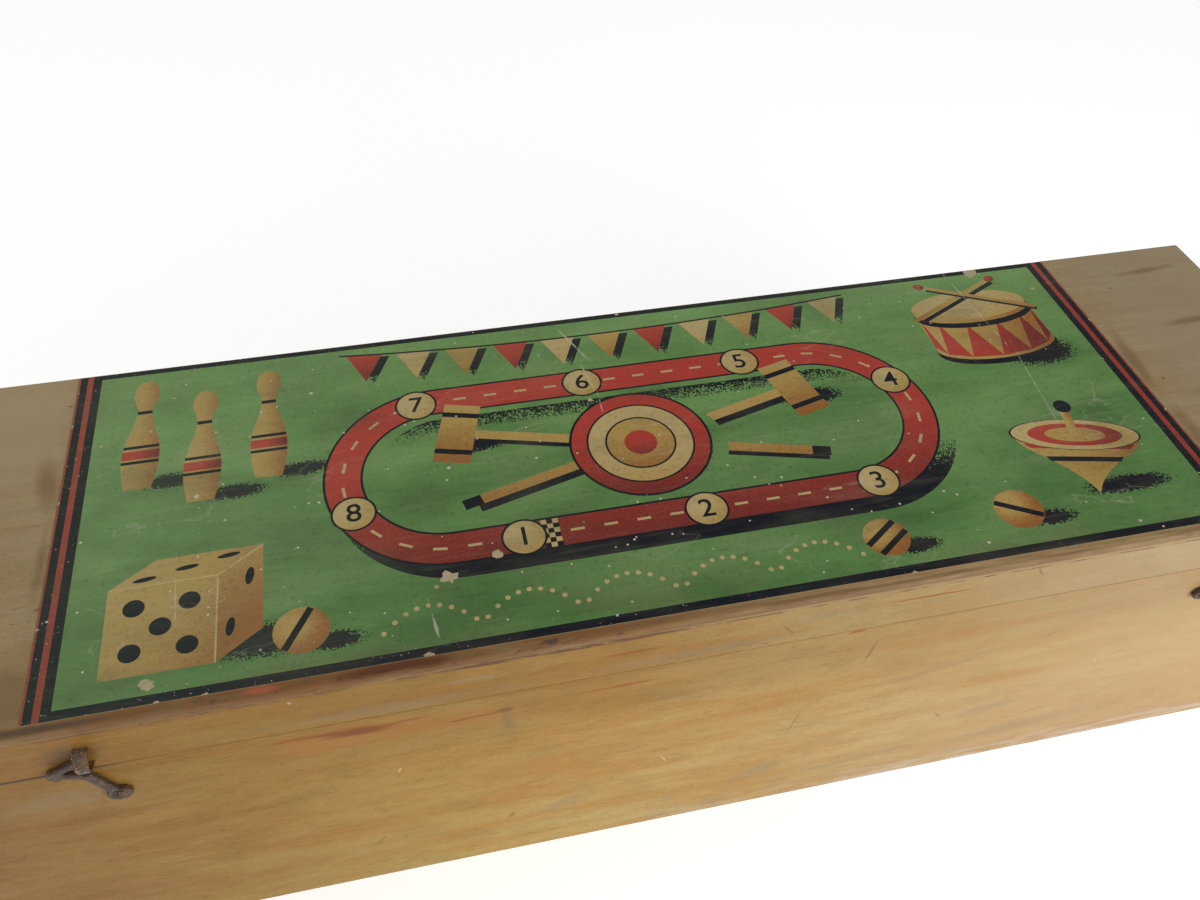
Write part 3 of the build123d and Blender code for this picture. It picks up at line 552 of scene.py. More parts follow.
def house_paint(g, x, y, z):
    """Banded feet and dots at the front, and a barred window in each side."""
    (low, high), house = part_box("tunnel_house"), box_middle("tunnel_house")
    layers = banded_feet("tunnel_house", (0,))(g, x, y, z)
    sill, half, rise = FLOOR + 0.022, 0.011, 0.020
    side = g.over(g.off(x, house.x), (high.x - low.x) / 2 - 0.0036)
    glass = g.times(within(g, y, house.y - half, house.y + half), within(g, z, sill, sill + rise), side)
    bars = g.most(
        g.under(g.off(y, house.y), 0.0008),
        g.under(g.off(z, sill + rise / 2), 0.0008),
        g.over(g.off(y, house.y), half - 0.0012),
        g.over(g.off(z, sill + rise / 2), rise / 2 - 0.0012),
    )
    return layers + [(glass, (0.08, 0.16, 0.06)), (g.times(glass, bars), PAINT_BLACK)]


def roof_paint(g, x, y, z):
    """Red all over, with dark lines between the rows of tiles."""
    low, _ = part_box("house_roof")
    row = g.fold(g.minus(z, low.z), 0.004)
    line = g.times(g.under(row, 0.0005), g.over(z, low.z + 0.0045))
    return [(1.0, (0.36, 0.050, 0.028)), (line, (0.12, 0.020, 0.014))]


def black_ends(name):
    """A black band at each end of a piece."""
    low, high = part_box(name)
    width = 0.006

    def paint(g, x, y, z):
        ends = g.most(within(g, x, low.x, low.x + width), within(g, x, high.x - width, high.x))
        return [(ends, PAINT_BLACK)]

    return paint


def ring_paint(g, x, y, z):
    """A red top on the rim, black stripes up its sides and a black ring inside."""
    middle, (low, high) = box_middle("ring_target"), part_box("ring_target")
    across, back = g.minus(x, middle.x), g.minus(y, middle.y)
    turn = g.angle(back, across)
    rim = g.over(z, high.z - 0.0008)
    stripe = g.under(g.fold(turn, math.pi / 20), math.pi / 70)
    ring = within(g, g.length(across, back), 0.020, 0.0222)
    wall = g.times(g.over(z, low.z + 0.006), g.under(z, high.z - 0.0008))
    floor_ring = g.times(ring, g.minus(1.0, wall))
    return [(rim, PAINT_RED), (g.times(wall, stripe), PAINT_BLACK), (floor_ring, PAINT_BLACK)]


def disc_paint(g, x, y, z):
    """Black and red rings on the slope round the cup."""
    middle = box_middle("cup_disc")
    across, back = g.minus(x, middle.x), g.minus(y, middle.y)
    reach = g.length(across, back)
    return [(within(g, reach, 0.0255, 0.029), PAINT_RED), (within(g, reach, 0.0385, 0.0405), PAINT_BLACK)]


def ball_paint(g, x, y, z):
    """Two crossed black bands."""
    middle = box_middle("banded_ball")
    across, up = g.minus(x, middle.x), g.minus(z, middle.z)
    tilt = g.plus(g.times(across, 0.55), g.times(up, 0.83))
    other = g.minus(g.times(across, 0.83), g.times(up, 0.55))
    return [(within(g, tilt, 0.002, 0.006), PAINT_BLACK), (within(g, other, -0.002, 0.002), PAINT_BLACK)]


def club_paint(name, toward):
    """A black and a red band above the bend, and a red butt."""
    low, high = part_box(name)
    butt = low.x if toward > 0 else high.x
    bend = (high.x if toward > 0 else low.x) - toward * 0.085

    def paint(g, x, y, z):
        past_bend = g.times(g.minus(x, bend), toward)
        return [
            (within(g, past_bend, -0.012, 0.0), PAINT_BLACK),
            (within(g, past_bend, -0.020, -0.015), PAINT_RED),
            (g.under(g.times(g.minus(x, butt), toward), 0.017), PAINT_RED),
        ]

    return paint


TOY_PAINT = {
    "single_arch": banded_feet("single_arch", (0,), DOT_RADIUS + 0.004),
    "double_arch": banded_feet("double_arch", (-0.5, 0.5)),
    "triple_arch": banded_feet("triple_arch", (-1, 0, 1)),
    "gate": banded_feet("gate"),
    "tunnel_house": house_paint,
    "house_roof": roof_paint,
    "ramp": black_ends("ramp"),
    "hump_bridge": black_ends("hump_bridge"),
    "ring_target": ring_paint,
    "cup_disc": disc_paint,
    "plain_ball": None,
    "banded_ball": ball_paint,
    "left_club": club_paint("left_club", -1),
    "right_club": club_paint("right_club", 1),
}
for order, (toy, paint) in enumerate(TOY_PAINT.items()):
    dress(varnished(f"{toy}_finish", 1.3 * order, paint), toy)


# Printed label. Each shape lies on those before it, in millimetres about the box's middle.
shapes = []


def draw(ink, outline, shade=None):
    """A closed outline in one ink, with a shade that runs straight or outwards from a centre."""
    shapes.append((ink, outline, shade))


def shade_at(shade, point):
    """(x, y, kind): kind 1 is a straight run from 0 to 1, kind 2 a distance from a centre."""
    if shade is None:
        return (0.0, 0.0, 0.0)
    kind, (ax, ay), (bx, by) = shade
    if kind == "round":
        return ((point[0] - ax) / bx, (point[1] - ay) / by, 2.0)
    run = (bx - ax) ** 2 + (by - ay) ** 2
    return (((point[0] - ax) * (bx - ax) + (point[1] - ay) * (by - ay)) / run, 0.0, 1.0)


def turned(points, degrees, shift=(0.0, 0.0)):
    c, s = math.cos(math.radians(degrees)), math.sin(math.radians(degrees))
    return [(x * c - y * s + shift[0], x * s + y * c + shift[1]) for x, y in points]


def oval(centre, rx, ry=None, degrees=0.0, first=0.0, last=360.0, count=64):
    ry = rx if ry is None else ry
    steps = count if last - first >= 360 else count + 1
    angles = [math.radians(first + (last - first) * i / count) for i in range(steps)]
    return turned([(rx * math.cos(a), ry * math.sin(a)) for a in angles], degrees, centre)


def bar(centre, width, height, degrees=0.0):
    w, h = width / 2, height / 2
    return turned([(-w, -h), (w, -h), (w, h), (-w, h)], degrees, centre)


def stadium(centre, straight, radius):
    """Track outline: two half circles joined by straights."""
    right = oval((centre[0] + straight, centre[1]), radius, first=-90, last=90, count=40)
    left = oval((centre[0] - straight, centre[1]), radius, first=90, last=270, count=40)
    return right + left


def curve_value(p, q, r, s, t):
    bend, twist = 2 * p - 5 * q + 4 * r - s, 3 * q - p - 3 * r + s
    return 0.5 * (2 * q + (r - p) * t + bend * t**2 + twist * t**3)


def smooth(points):
    """A curve through these points."""
    steps = 6
    padded = [points[0], *points, points[-1]]
    curve = []
    for four in zip(padded, padded[1:], padded[2:], padded[3:]):
        for i in range(steps):
            curve.append(tuple(curve_value(*values, i / steps) for values in zip(*four)))
    return curve + [points[-1]]


def mirrored(half):
    """Half an outline that ends on the upright axis, and its mirror image."""
    return half + [(-x, y) for x, y in reversed(half[:-1])]


def torn(centre, radius, seed):
    """An irregular torn patch."""
    draws, corners = random.Random(seed), 14
    radii = [radius * draws.uniform(0.55, 1.15) for _ in range(corners)]
    turns = [math.tau * i / corners for i in range(corners)]
    return [(centre[0] + r * math.cos(a), centre[1] + 0.8 * r * math.sin(a)) for a, r in zip(turns, radii)]


def number_mesh(text, height, thickness=0.0):
    """A plain number as a mesh in its own XY plane, centred."""
    curve = bpy.data.curves.new("number", "FONT")
    size_to_height, swell = 1.38, 0.012
    curve.body, curve.align_x, curve.align_y = text, "CENTER", "CENTER"
    curve.size, curve.offset, curve.extrude = height * size_to_height, height * swell, thickness
    holder = placed("number", curve)
    source = holder.evaluated_get(bpy.context.evaluated_depsgraph_get())
    mesh = bpy.data.meshes.new_from_object(source)
    bpy.data.objects.remove(holder)
    bpy.data.curves.remove(curve)
    return mesh


def numeral(text, centre, height):
    """Filled outlines of a plain number."""
    mesh = number_mesh(text, height)
    points = [(v.co.x + centre[0], v.co.y + centre[1]) for v in mesh.vertices]
    outlines = [[points[i] for i in face.vertices] for face in mesh.polygons]
    bpy.data.meshes.remove(mesh)
    return outlines


LABEL_X = LABEL_HIGH.x / MM
LABEL_FRONT, LABEL_BACK = LABEL_LOW.y / MM, LABEL_HIGH.y / MM
LABEL_MIDDLE = (LABEL_FRONT + LABEL_BACK) / 2
SLIVER = 0.02
OUTER_LINE, OUTER_BAND, RED_BAND, INNER_BAND = 1.2, 3.8, 3.1, 4.5
FRONT_BAND, BACK_BAND = 4.8, 3.7


def across_shade(x, half):
    """Light at the left of an upright form, dark at its right."""
    return ("straight", (x - half * 0.9, 0), (x + half * 1.25, 0))


def down_shade(high, low):
    return ("straight", (0, high), (0, low))


def draw_frame():
    """Black border, with two red lines beside each end, round the green field."""
    height = LABEL_BACK - LABEL_FRONT
    dull = down_shade(5 * height, -4 * height)
    draw("black", bar((0, LABEL_MIDDLE), 2 * LABEL_X, height))
    for side in (-1, 1):
        edge = side * LABEL_X
        draw("red", bar((edge - side * OUTER_LINE / 2, LABEL_MIDDLE), OUTER_LINE, height), dull)
        red = edge - side * (OUTER_LINE + OUTER_BAND + RED_BAND / 2)
        draw("red", bar((red, LABEL_MIDDLE), RED_BAND, height), dull)
    border = OUTER_LINE + OUTER_BAND + RED_BAND + INNER_BAND
    low, high = LABEL_FRONT + FRONT_BAND, LABEL_BACK - BACK_BAND
    draw("green", bar((0, (low + high) / 2), 2 * (LABEL_X - border), high - low))


def cast(centre, rx, ry, degrees=0.0):
    """A stippled shadow that fades at its rim."""
    draw("shadow", oval(centre, rx, ry, degrees), ("round", centre, (rx, ry)))


def ball(centre, radius, bands):
    x, y = centre
    cast((x + radius * 1.10, y - radius * 0.65), radius * 1.5, radius * 0.55)
    light = (x - radius * 0.35, y + radius * 0.38)
    draw("ochre", oval(centre, radius), ("round", light, (radius * 1.35, radius * 1.35)))
    for degrees, offset in bands:
        reach = 2 * math.sqrt(radius**2 - offset**2) * 0.97
        draw("black", bar(turned([(0, offset)], degrees, centre)[0], reach, radius * 0.26, degrees))


TRACK_CENTRE, TRACK_STRAIGHT, TRACK_RADIUS, TRACK_WIDTH = (0.0, 3.0), 106.0, 62.0, 18.0
TRACK_PATH = TRACK_RADIUS - TRACK_WIDTH / 2
TRACK_LAP = 4 * TRACK_STRAIGHT + math.tau * TRACK_PATH


def on_track(distance):
    """Point and direction on the middle of the track."""
    (x, y), straight, path = TRACK_CENTRE, TRACK_STRAIGHT, TRACK_PATH
    distance %= TRACK_LAP
    if distance < 2 * straight:
        return (x - straight + distance, y - path), 0.0
    distance -= 2 * straight
    if distance < math.pi * path:
        turn = distance / path
        return (x + straight + path * math.sin(turn), y - path * math.cos(turn)), math.degrees(turn)
    distance -= math.pi * path
    if distance < 2 * straight:
        return (x + straight - distance, y + path), 180.0
    turn = (distance - 2 * straight) / path
    return (x - straight - path * math.sin(turn), y + path * math.cos(turn)), 180 + math.degrees(turn)


def track():
    """Race track round the middle, with a chequered start and numbered stops."""
    (x, y), straight, radius, line = TRACK_CENTRE, TRACK_STRAIGHT, TRACK_RADIUS, 1.3
    hole = radius - TRACK_WIDTH
    rings = (
        ("shadow", 5, -8, 0, radius + 2, down_shade(-20, -66)),
        ("black", 0, 0, 0, radius + line, None),
        ("red", 0, 0, 0, radius, down_shade(50, -92)),
        ("black", 0, 0, 0, hole, None),
        ("green", 0, 0, 0, hole - line, None),
        ("shadow", 3, -1, 0, hole - line - 3, down_shade(20, 66)),
        ("green", 3, -7, 2, hole - line - 7, None),
    )
    for ink, across, up, shorter, reach, shade in rings:
        draw(ink, stadium((x + across, y + up), straight - shorter, reach), shade)
    dashes, stops, square = 44, 8, 3.0
    for i in range(dashes):
        point, degrees = on_track(TRACK_LAP * (i + 0.5) / dashes)
        draw("cream", bar(point, 7.0, 1.6, degrees))
    for row in range(6):
        for column in range(3):
            ink = "cream" if (row + column) % 2 else "black"
            place = (-62 + column * square, y - radius + (row + 0.5) * square)
            draw(ink, bar(place, square, square))
    for i in range(stops):
        point, _ = on_track(TRACK_LAP * (i + 0.35) / stops)
        draw("black", oval(point, 11.6))
        draw("cream", oval(point, 10.4), ("round", (point[0] - 4, point[1] + 4), (17, 17)))
        for outline in numeral(str(i + 1), point, 12):
            draw("black", outline)


def target():
    """Rings of a target over two crossed mallets."""
    centre = TRACK_CENTRE
    y = centre[1]
    for degrees in (15, 165):
        head, tail = (turned([(reach, 0)], degrees, centre)[0] for reach in (100, -98))
        side = turned([(0, 1)], degrees)[0]
        cast((head[0] + 8, head[1] - 9), 25, 10, degrees)
        draw("shadow", bar((centre[0] + 3, y - 4), 196, 6.5, degrees), down_shade(-100, -40))
        draw("ochre", bar(centre, 206, 6.4, degrees), down_shade(y + 26, y - 46))
        draw("black", bar(tail, 10, 6.6, degrees))
        low, high = ((head[0] + side[0] * s, head[1] + side[1] * s) for s in (-24, 24))
        top, bottom = (high, low) if high[1] > low[1] else (low, high)
        draw("ochre", bar(head, 20, 44, degrees), ("straight", top, bottom))
        for offset in (-14, 14):
            draw("black", bar((head[0] + side[0] * offset, head[1] + side[1] * offset), 20.2, 3.6, degrees))
    cast((centre[0] + 6, y - 5), 41, 36)
    rings = (
        (39, "black"), (37.6, "red"), (29.5, "black"), (28.4, "cream"), (19.4, "black"), (18.3, "ochre"),
    )
    for radius, ink in rings:
        shade = None if ink == "black" else down_shade(y + radius, y - radius * 1.5)
        draw(ink, oval(centre, radius), shade)
    draw("red", oval(centre, 9.0), down_shade(y + 9, y - 14))


PIN = [
    (0.080, 0.0), (0.100, 0.10), (0.115, 0.26), (0.105, 0.40), (0.066, 0.56), (0.046, 0.68),
    (0.050, 0.74), (0.074, 0.82), (0.078, 0.89), (0.054, 0.97), (0.0, 1.0),
]


def skittle(x, foot, height):
    """A turned pin with bands, standing on its shadow."""
    cast((x + height * 0.20, foot + 3), height * 0.27, height * 0.085, 8)
    profile = smooth([(w * height, foot + h * height) for w, h in PIN])
    side_shade = across_shade(x, height * 0.11)
    draw("ochre", [(x + w, h) for w, h in mirrored(profile)], side_shade)
    bands = ((0.30, 0.075, "red"), (0.37, 0.025, "black"), (0.235, 0.025, "black"), (0.69, 0.03, "black"))
    for level, thick, ink in bands:
        low, high = foot + (level - thick / 2) * height, foot + (level + thick / 2) * height
        level_profile = [(w, h) for w, h in profile if low - 1.5 <= h <= high + 1.5]
        half = sum(w for w, _ in level_profile) / len(level_profile)
        band = bar((x, (low + high) / 2), 2 * half, high - low)
        draw(ink, band, side_shade if ink == "red" else None)


def die(corner, size):
    """A cube in oblique view with its three spotted faces."""
    depth = (size * 0.42, size * 0.30)
    x, y = corner
    cast((x + size * 1.45, y + size * 0.16), size * 0.75, size * 0.26, 10)
    five = ((0.25, 0.25), (0.75, 0.25), (0.5, 0.5), (0.25, 0.75), (0.75, 0.75))
    faces = (
        (corner, (size, 0), (0, size), five, 0.05, 1.25),
        ((x + size, y), depth, (0, size), ((0.3, 0.28), (0.7, 0.72)), -0.9, 0.8),
        ((x, y + size), (size, 0), depth, ((0.22, 0.25), (0.5, 0.5), (0.78, 0.75)), 0.15, 2.0),
    )
    for (ox, oy), (ax, ay), (bx, by), pips, start, end in faces:
        from_point, to_point = ((ox + bx + (ax - bx) * t, oy + by + (ay - by) * t) for t in (start, end))
        outline = [(ox, oy), (ox + ax, oy + ay), (ox + ax + bx, oy + ay + by), (ox + bx, oy + by)]
        draw("ochre", outline, ("straight", from_point, to_point))
        for u, v in pips:
            turns = [math.tau * i / 24 for i in range(24)]
            ring = [(u + 0.1 * math.cos(t), v + 0.1 * math.sin(t)) for t in turns]
            draw("black", [(ox + p * ax + q * bx, oy + p * ay + q * by) for p, q in ring])
    inner = (x + size, y + size)
    for end in ((x + size, y), (x, y + size), (x + size + depth[0], y + size + depth[1])):
        away = Vector(inner) - Vector(end)
        side = Vector((away.y, -away.x)).normalized() * 0.45
        corners = ((inner, 1), (end, 1), (end, -1), (inner, -1))
        draw("cream", [tuple(Vector(p) + side * s) for p, s in corners])


def drum(centre, radius, height):
    """A side drum with red points round its body, and two sticks."""
    cx, cy = centre
    flat, half = radius * 0.36, height / 2
    shade = across_shade(cx, radius)
    cast((cx + radius * 0.60, cy - half * 1.50), radius * 0.84, radius * 0.42, 6)
    body = oval((cx, cy - half), radius, flat, first=180, last=360, count=32)
    draw("ochre", body + [(cx + radius, cy + half), (cx - radius, cy + half)], shade)
    zigs = 6
    for i in range(zigs):
        angles = [math.radians(180 + 180 * (i + share) / zigs) for share in (0.0, 0.5, 1.0)]
        a, b, c = ((cx + radius * math.cos(t), cy + flat * math.sin(t)) for t in angles)
        zigzag = [(a[0], a[1] - half + 5), (c[0], c[1] - half + 5), (b[0], b[1] + half - 5)]
        draw("red", zigzag, shade)
    for level in (half - 3, 3 - half):
        places = ((cx, cy + level), (cx, cy + level - 4.5))
        upper, lower = (oval(place, radius + 0.8, flat, first=180, last=360, count=32) for place in places)
        draw("black", upper + lower[::-1])
    light = ("round", (cx - 8, cy + half + 3), (radius * 1.5, flat * 1.7))
    draw("cream", oval((cx, cy + half), radius, flat), light)
    for shift, degrees in ((-7, 26), (9, 154)):
        middle = (cx + shift, cy + half + 7)
        end = turned([(radius * 0.95, 0)], degrees, middle)[0]
        shadow, stick_shade = (middle[0] + 2, middle[1] - 3), down_shade(cy + half + 22, cy + half - 22)
        draw("shadow", bar(shadow, radius * 1.8, 3, degrees), down_shade(-200, 120))
        draw("ochre", bar(middle, radius * 1.9, 3.0, degrees), stick_shade)
        draw("red", oval(end, 3.4, 2.8, degrees), ("round", (end[0] - 1, end[1] + 1), (5, 5)))


def spinning_top(centre, size):
    """A spinning top that leans on its point."""
    cx, cy = centre
    lean = -12
    shade = across_shade(cx, size * 0.8)
    cast((cx + size * 0.22, cy - size * 0.66), size * 0.70, size * 0.17, 4)
    cone = smooth([(0.72, 0.12), (0.62, -0.08), (0.30, -0.34), (0.10, -0.56), (0.0, -0.74)])
    outline = [(a * size, b * size) for a, b in reversed(mirrored(cone))]
    draw("ochre", turned(outline, lean, centre), shade)
    for level, width, ink in ((-0.03, 1.24, "red"), (-0.22, 0.86, "black")):
        w = width / 2
        band = [(-w * 0.88, level - 0.07), (w * 0.88, level - 0.07), (w, level), (-w, level)]
        band = turned([(a * size, b * size) for a, b in band], lean, centre)
        draw(ink, band, shade if ink == "red" else None)
    disc = turned([(0, 0.12 * size)], lean, centre)[0]
    draw("black", oval(disc, size * 0.735, size * 0.24, lean))
    for share, ink in ((0.97, "cream"), (0.72, "red"), (0.46, "ochre")):
        draw(ink, oval(disc, size * 0.735 * share, size * 0.24 * share, lean), across_shade(cx, size))
    stem, knob = (turned([(0, rise * size)], lean, centre)[0] for rise in (0.34, 0.57))
    draw("ochre", bar(stem, size * 0.11, size * 0.42, lean), across_shade(stem[0], 4))
    draw("black", oval(knob, size * 0.1))


def bunting():
    """Pennants on a sagging string along the back."""
    flags, width, drop, sag, left, top = 11, 21.0, 24.0, 8.0, -156.0, 105.5
    length = -2 * left

    def string(x):
        return top - sag * (1 - (x / left) ** 2)

    line = [(left + length * i / 40, string(left + length * i / 40)) for i in range(41)]
    for i in range(flags):
        x = left + length * (i + 0.5) / flags
        level, (a, b) = string(x), ((end, string(end)) for end in (x - width / 2, x + width / 2))
        tip = (x, level - drop)
        shadow = [(px + 4, py - 3) for px, py in (a, tip, b)]
        draw("shadow", shadow, down_shade(level - 34, level - 4))
        ink = ("red", "cream", "ochre")[i % 3]
        draw(ink, [a, tip, b], ("straight", (x - 3, level + 4), (x + 8, tip[1] - 6)))
    draw("black", line + [(x, y - 1.3) for x, y in reversed(line)])


def hops():
    """A ball that hops along the front, with its dotted way."""
    start, hop, height, foot, count, dots = -148.0, 48.0, 15.0, -97.0, 5, 9
    for i in range(count):
        for j in range(dots):
            t = (j + 0.5) / dots
            draw("cream", oval((start + hop * (i + t), foot + 4 * height * t * (1 - t)), 1.3, count=12))
    ball((start + hop * count + 13, foot + 11), 12.0, ((35, 3.5), (35, -4.5)))


def lay_out():
    draw_frame()
    bunting()
    for x, foot in ((-262, 20), (-196, 16), (-230, 6)):
        skittle(x, foot, 84)
    track()
    target()
    die((-270, -94), 50)
    ball((-182, -84), 13, ((60, 2.0),))
    drum((231, 60), 38, 40)
    spinning_top((236, -44), 50)
    ball((180, -82), 13, ((-30, 0),))
    hops()


TEARS = [
    (-112.4, -67.3, 5.0), (-87.4, -58.0, 3.4), (-125.6, -110.2, 3.6), (-248.9, -99.6, 4.2),
    (247.0, 111.5, 6.5), (-244.1, -109.6, 1.8), (-223.7, -110.4, 2.2), (-119.0, -72.0, 1.6),
    (-26.0, 60.0, 2.4), (-20.0, 41.0, 2.0), (-258.0, 62.0, 1.2), (-300.0, 18.0, 1.6),
    (300.0, -30.0, 1.5), (280.0, 88.0, 1.6), (-299.5, -60.0, 1.3), (-299.8, 74.0, 1.5),
    (299.8, 52.0, 1.4), (110.0, -109.9, 1.6), (12.0, 112.6, 1.4),
]
lay_out()
for seed, (x, y, radius) in enumerate(TEARS):
    draw("bare", torn((x, y), radius, 40 + seed))


# Inks
GREEN, OCHRE, CREAM = (0.112, 0.240, 0.062), (0.42, 0.275, 0.075), (0.48, 0.36, 0.155)
RED, BLACK, BARE = (0.42, 0.045, 0.030), (0.005, 0.006, 0.011), (0.45, 0.36, 0.22)
BROWN, MAROON, FADED = (0.27, 0.092, 0.016), (0.10, 0.018, 0.014), (0.44, 0.42, 0.26)
PALE_GREEN, DEEP_GREEN = (0.185, 0.340, 0.105), (0.045, 0.115, 0.034)
CREASES = [
    (-21.0, 92.0, 20, 0.7, 112), (-17.5, 60.0, 18, 0.6, 98), (-15.0, 38.0, 14, 0.5, 88),
    (-122.0, -92.0, 17, 0.6, 97), (-239.0, -55.0, 26, 0.45, 92), (233.0, 78.0, 42, 0.4, 96),
    (236.0, 2.0, 38, 0.4, 84),
]
SPECKS = [(170.0, 0.120, 0.34), (105.0, 0.085, 0.30), (58.0, 0.062, 0.24), (26.0, 0.036, 0.20)]


def aged_print(g, colour, worn_share):
    """Over the ink: wear in rubbed patches, wrinkles, white specks, hairlines, creases and dirt, and paler
    ink at the left and back.
    """
    x, y, _ = g.parts()
    rub = g.noise(g.place, (10.0, 15.0, 10.0), 5.0, 0.62)
    weave = g.noise(g.place, (28.0, 420.0, 1.0), 4.0, 0.62)
    mottle = g.noise(g.place, (380.0, 380.0, 1.0), 3.0, 0.65)
    wrinkle = g.noise(g.place, (11.0, 48.0, 1.0), 4.0, 0.58)
    # Paler towards the left end and the back edge.
    paler_left_and_back = g.most(g.ramp(x, -0.04, -0.28, 0.12), g.ramp(y, 0.06, 0.112, 0.07))
    grime = g.dots(g.place, (170.0, 170.0, 0.0), 0.05, 0.10, 0.10)
    colour = g.lay(
        colour,
        (rub, 0.46, 0.74, 0.13 * worn_share, FADED),
        (rub, 0.50, 0.22, 0.42, (0.035, 0.045, 0.022)),
        (wrinkle, 0.54, 0.74, 0.12 * worn_share, FADED),
        (wrinkle, 0.47, 0.30, 0.22, (0.03, 0.04, 0.02)),
        (weave, 0.50, 0.78, 0.10 * worn_share, FADED),
        (mottle, 0.50, 0.22, 0.34, (0.03, 0.025, 0.015)),
        (g.times(paler_left_and_back, worn_share), (0.42, 0.51, 0.31)),
        (g.times(grime, 0.55), (0.05, 0.03, 0.018)),
    )

    worn = g.spots(SHEET, CREASES, 0.55, 0.8, g.shake((160.0, 160.0, 1.0), 3.2, 3.0))
    ridges = g.off(g.noise(g.place, (8.0, 20.0, 1.0), 4.0, 0.55), 0.5)
    faint = g.times(g.span(ridges, 0.0, 0.005, 0.20, 0.0), g.span(wrinkle, 0.48, 0.60), worn_share)
    worn = g.most(worn, faint)
    fewer = g.ramp(x, -0.28, 0.05, 0.72)
    for scale, radius, share in SPECKS:
        gap, pick = g.cells(g.place, (scale, scale, 0.0))
        size = g.span(pick, 1.0 - share, 1.0, 0.3 * radius, radius * (0.7 + 0.3 * worn_share))
        kept = g.over(pick, g.plus(g.times(fewer, share), 1.0 - share))
        worn = g.most(worn, g.times(g.under(gap, size), kept, 0.85))
    edge = g.minus(LABEL_HIGH.x, g.off(x, 0.0))
    rim = g.least(edge, g.minus(LABEL_HIGH.y, g.off(y, LABEL_MIDDLE * MM)))
    powder = g.span(g.noise(g.place, (560.0, 560.0, 1.0), 2.0, 0.6), 0.675, 0.73)
    powder = g.times(powder, g.fade(rim, 0.009, 0.013), g.span(x, 0.10, -0.20, 0.10, 0.55))
    worn = g.most(worn, powder)
    frayed = g.span(g.plus(edge, g.shake((50.0, 160.0, 1.0), 0.0030, 5.0)), 0.0, 0.0005, 0.9, 0.0)
    near_edge = g.span(g.least(edge, g.minus(y, LABEL_LOW.y)), 0.0, 0.03, 0.35 * worn_share**2, 0.0)
    dirt = g.times(near_edge, g.span(rub, 0.42, 0.65))
    colour = g.lay(
        colour, (worn, (0.58, 0.53, 0.42)), (frayed, (0.22, 0.15, 0.08)), (dirt, (0.11, 0.075, 0.04))
    )
    height = g.minus(g.times(wrinkle, 1.5), g.times(worn, 0.35))
    height = g.plus(height, g.times(g.plus(weave, mottle), 0.12))
    roughness = g.span(g.plus(rub, mottle), 0.8, 1.25, 0.44, 0.60)
    return colour, roughness, height


def sprayed_field(g):
    """The green ground: long soft sweeps of paler and deeper green."""
    sweep = g.noise(g.place, (7.0, 26.0, 1.0), 4.0, 0.55)
    cloud = g.noise(g.place, (13.0, 17.0, 1.0), 4.0, 0.6)
    colour = g.lay(
        GREEN,
        (sweep, 0.45, 0.66, 0.70, PALE_GREEN),
        (sweep, 0.48, 0.32, 0.50, DEEP_GREEN),
        (cloud, 0.48, 0.68, 0.45, DEEP_GREEN),
    )
    x, y, _ = g.parts()
    back, front = g.mix(0.34, colour, PALE_GREEN), g.mix(0.34, colour, DEEP_GREEN)
    run = g.plus(y, g.times(x, -0.05))
    return g.mix(g.span(run, LABEL_LOW.y, LABEL_HIGH.y), front, back)


def print_ink(name, base, shaded, worn_share=1.0, fades_out=False):
    """One printed colour with its sprayed shading, under the wear of the whole sheet."""
    g = Graph(name)
    colour = sprayed_field(g) if base == GREEN else base
    x, y, kind = g.parts(g.add("ShaderNodeAttribute", attribute_name="shade").outputs["Vector"])
    reach = g.length(x, y)
    round_one = g.over(kind, 1.5)
    straight = g.times(x, g.minus(1.0, round_one))
    if fades_out:
        level = g.plus(g.times(g.minus(1.0, reach), round_one), straight)
        gap, _ = g.cells(g.place, (950.0, 950.0, 0.0))
        colour = g.lay(colour, (g.minus(g.times(level, 1.7), gap), -0.02, 0.12, shaded))
    elif base != shaded:
        spray = g.noise(g.place, (1300.0, 1300.0, 1.0), 1.0, 0.5)
        level = g.plus(g.times(reach, round_one), straight)
        grainy = g.plus(level, g.times(g.minus(spray, 0.5), 0.7))
        colour = g.lay(colour, (grainy, 0.22, 0.98, 0.92, shaded))
        if base == OCHRE:
            colour = g.lay(colour, (grainy, 0.20, -0.15, 0.30, CREAM))
    colour, roughness, height = aged_print(g, colour, worn_share)
    return g.finish(colour, roughness, height, 0.0005, Specular_IOR_Level=0.12)


INKS = {
    "green": print_ink("print_green", GREEN, GREEN),
    "shadow": print_ink("print_shadow", GREEN, BLACK, 0.7, fades_out=True),
    "ochre": print_ink("print_ochre", OCHRE, BROWN),
    "cream": print_ink("print_cream", CREAM, OCHRE),
    "red": print_ink("print_red", RED, MAROON, 0.6),
    "black": print_ink("print_black", BLACK, BLACK, 0.35),
    "bare": print_ink("paper_core", BARE, BARE),
}


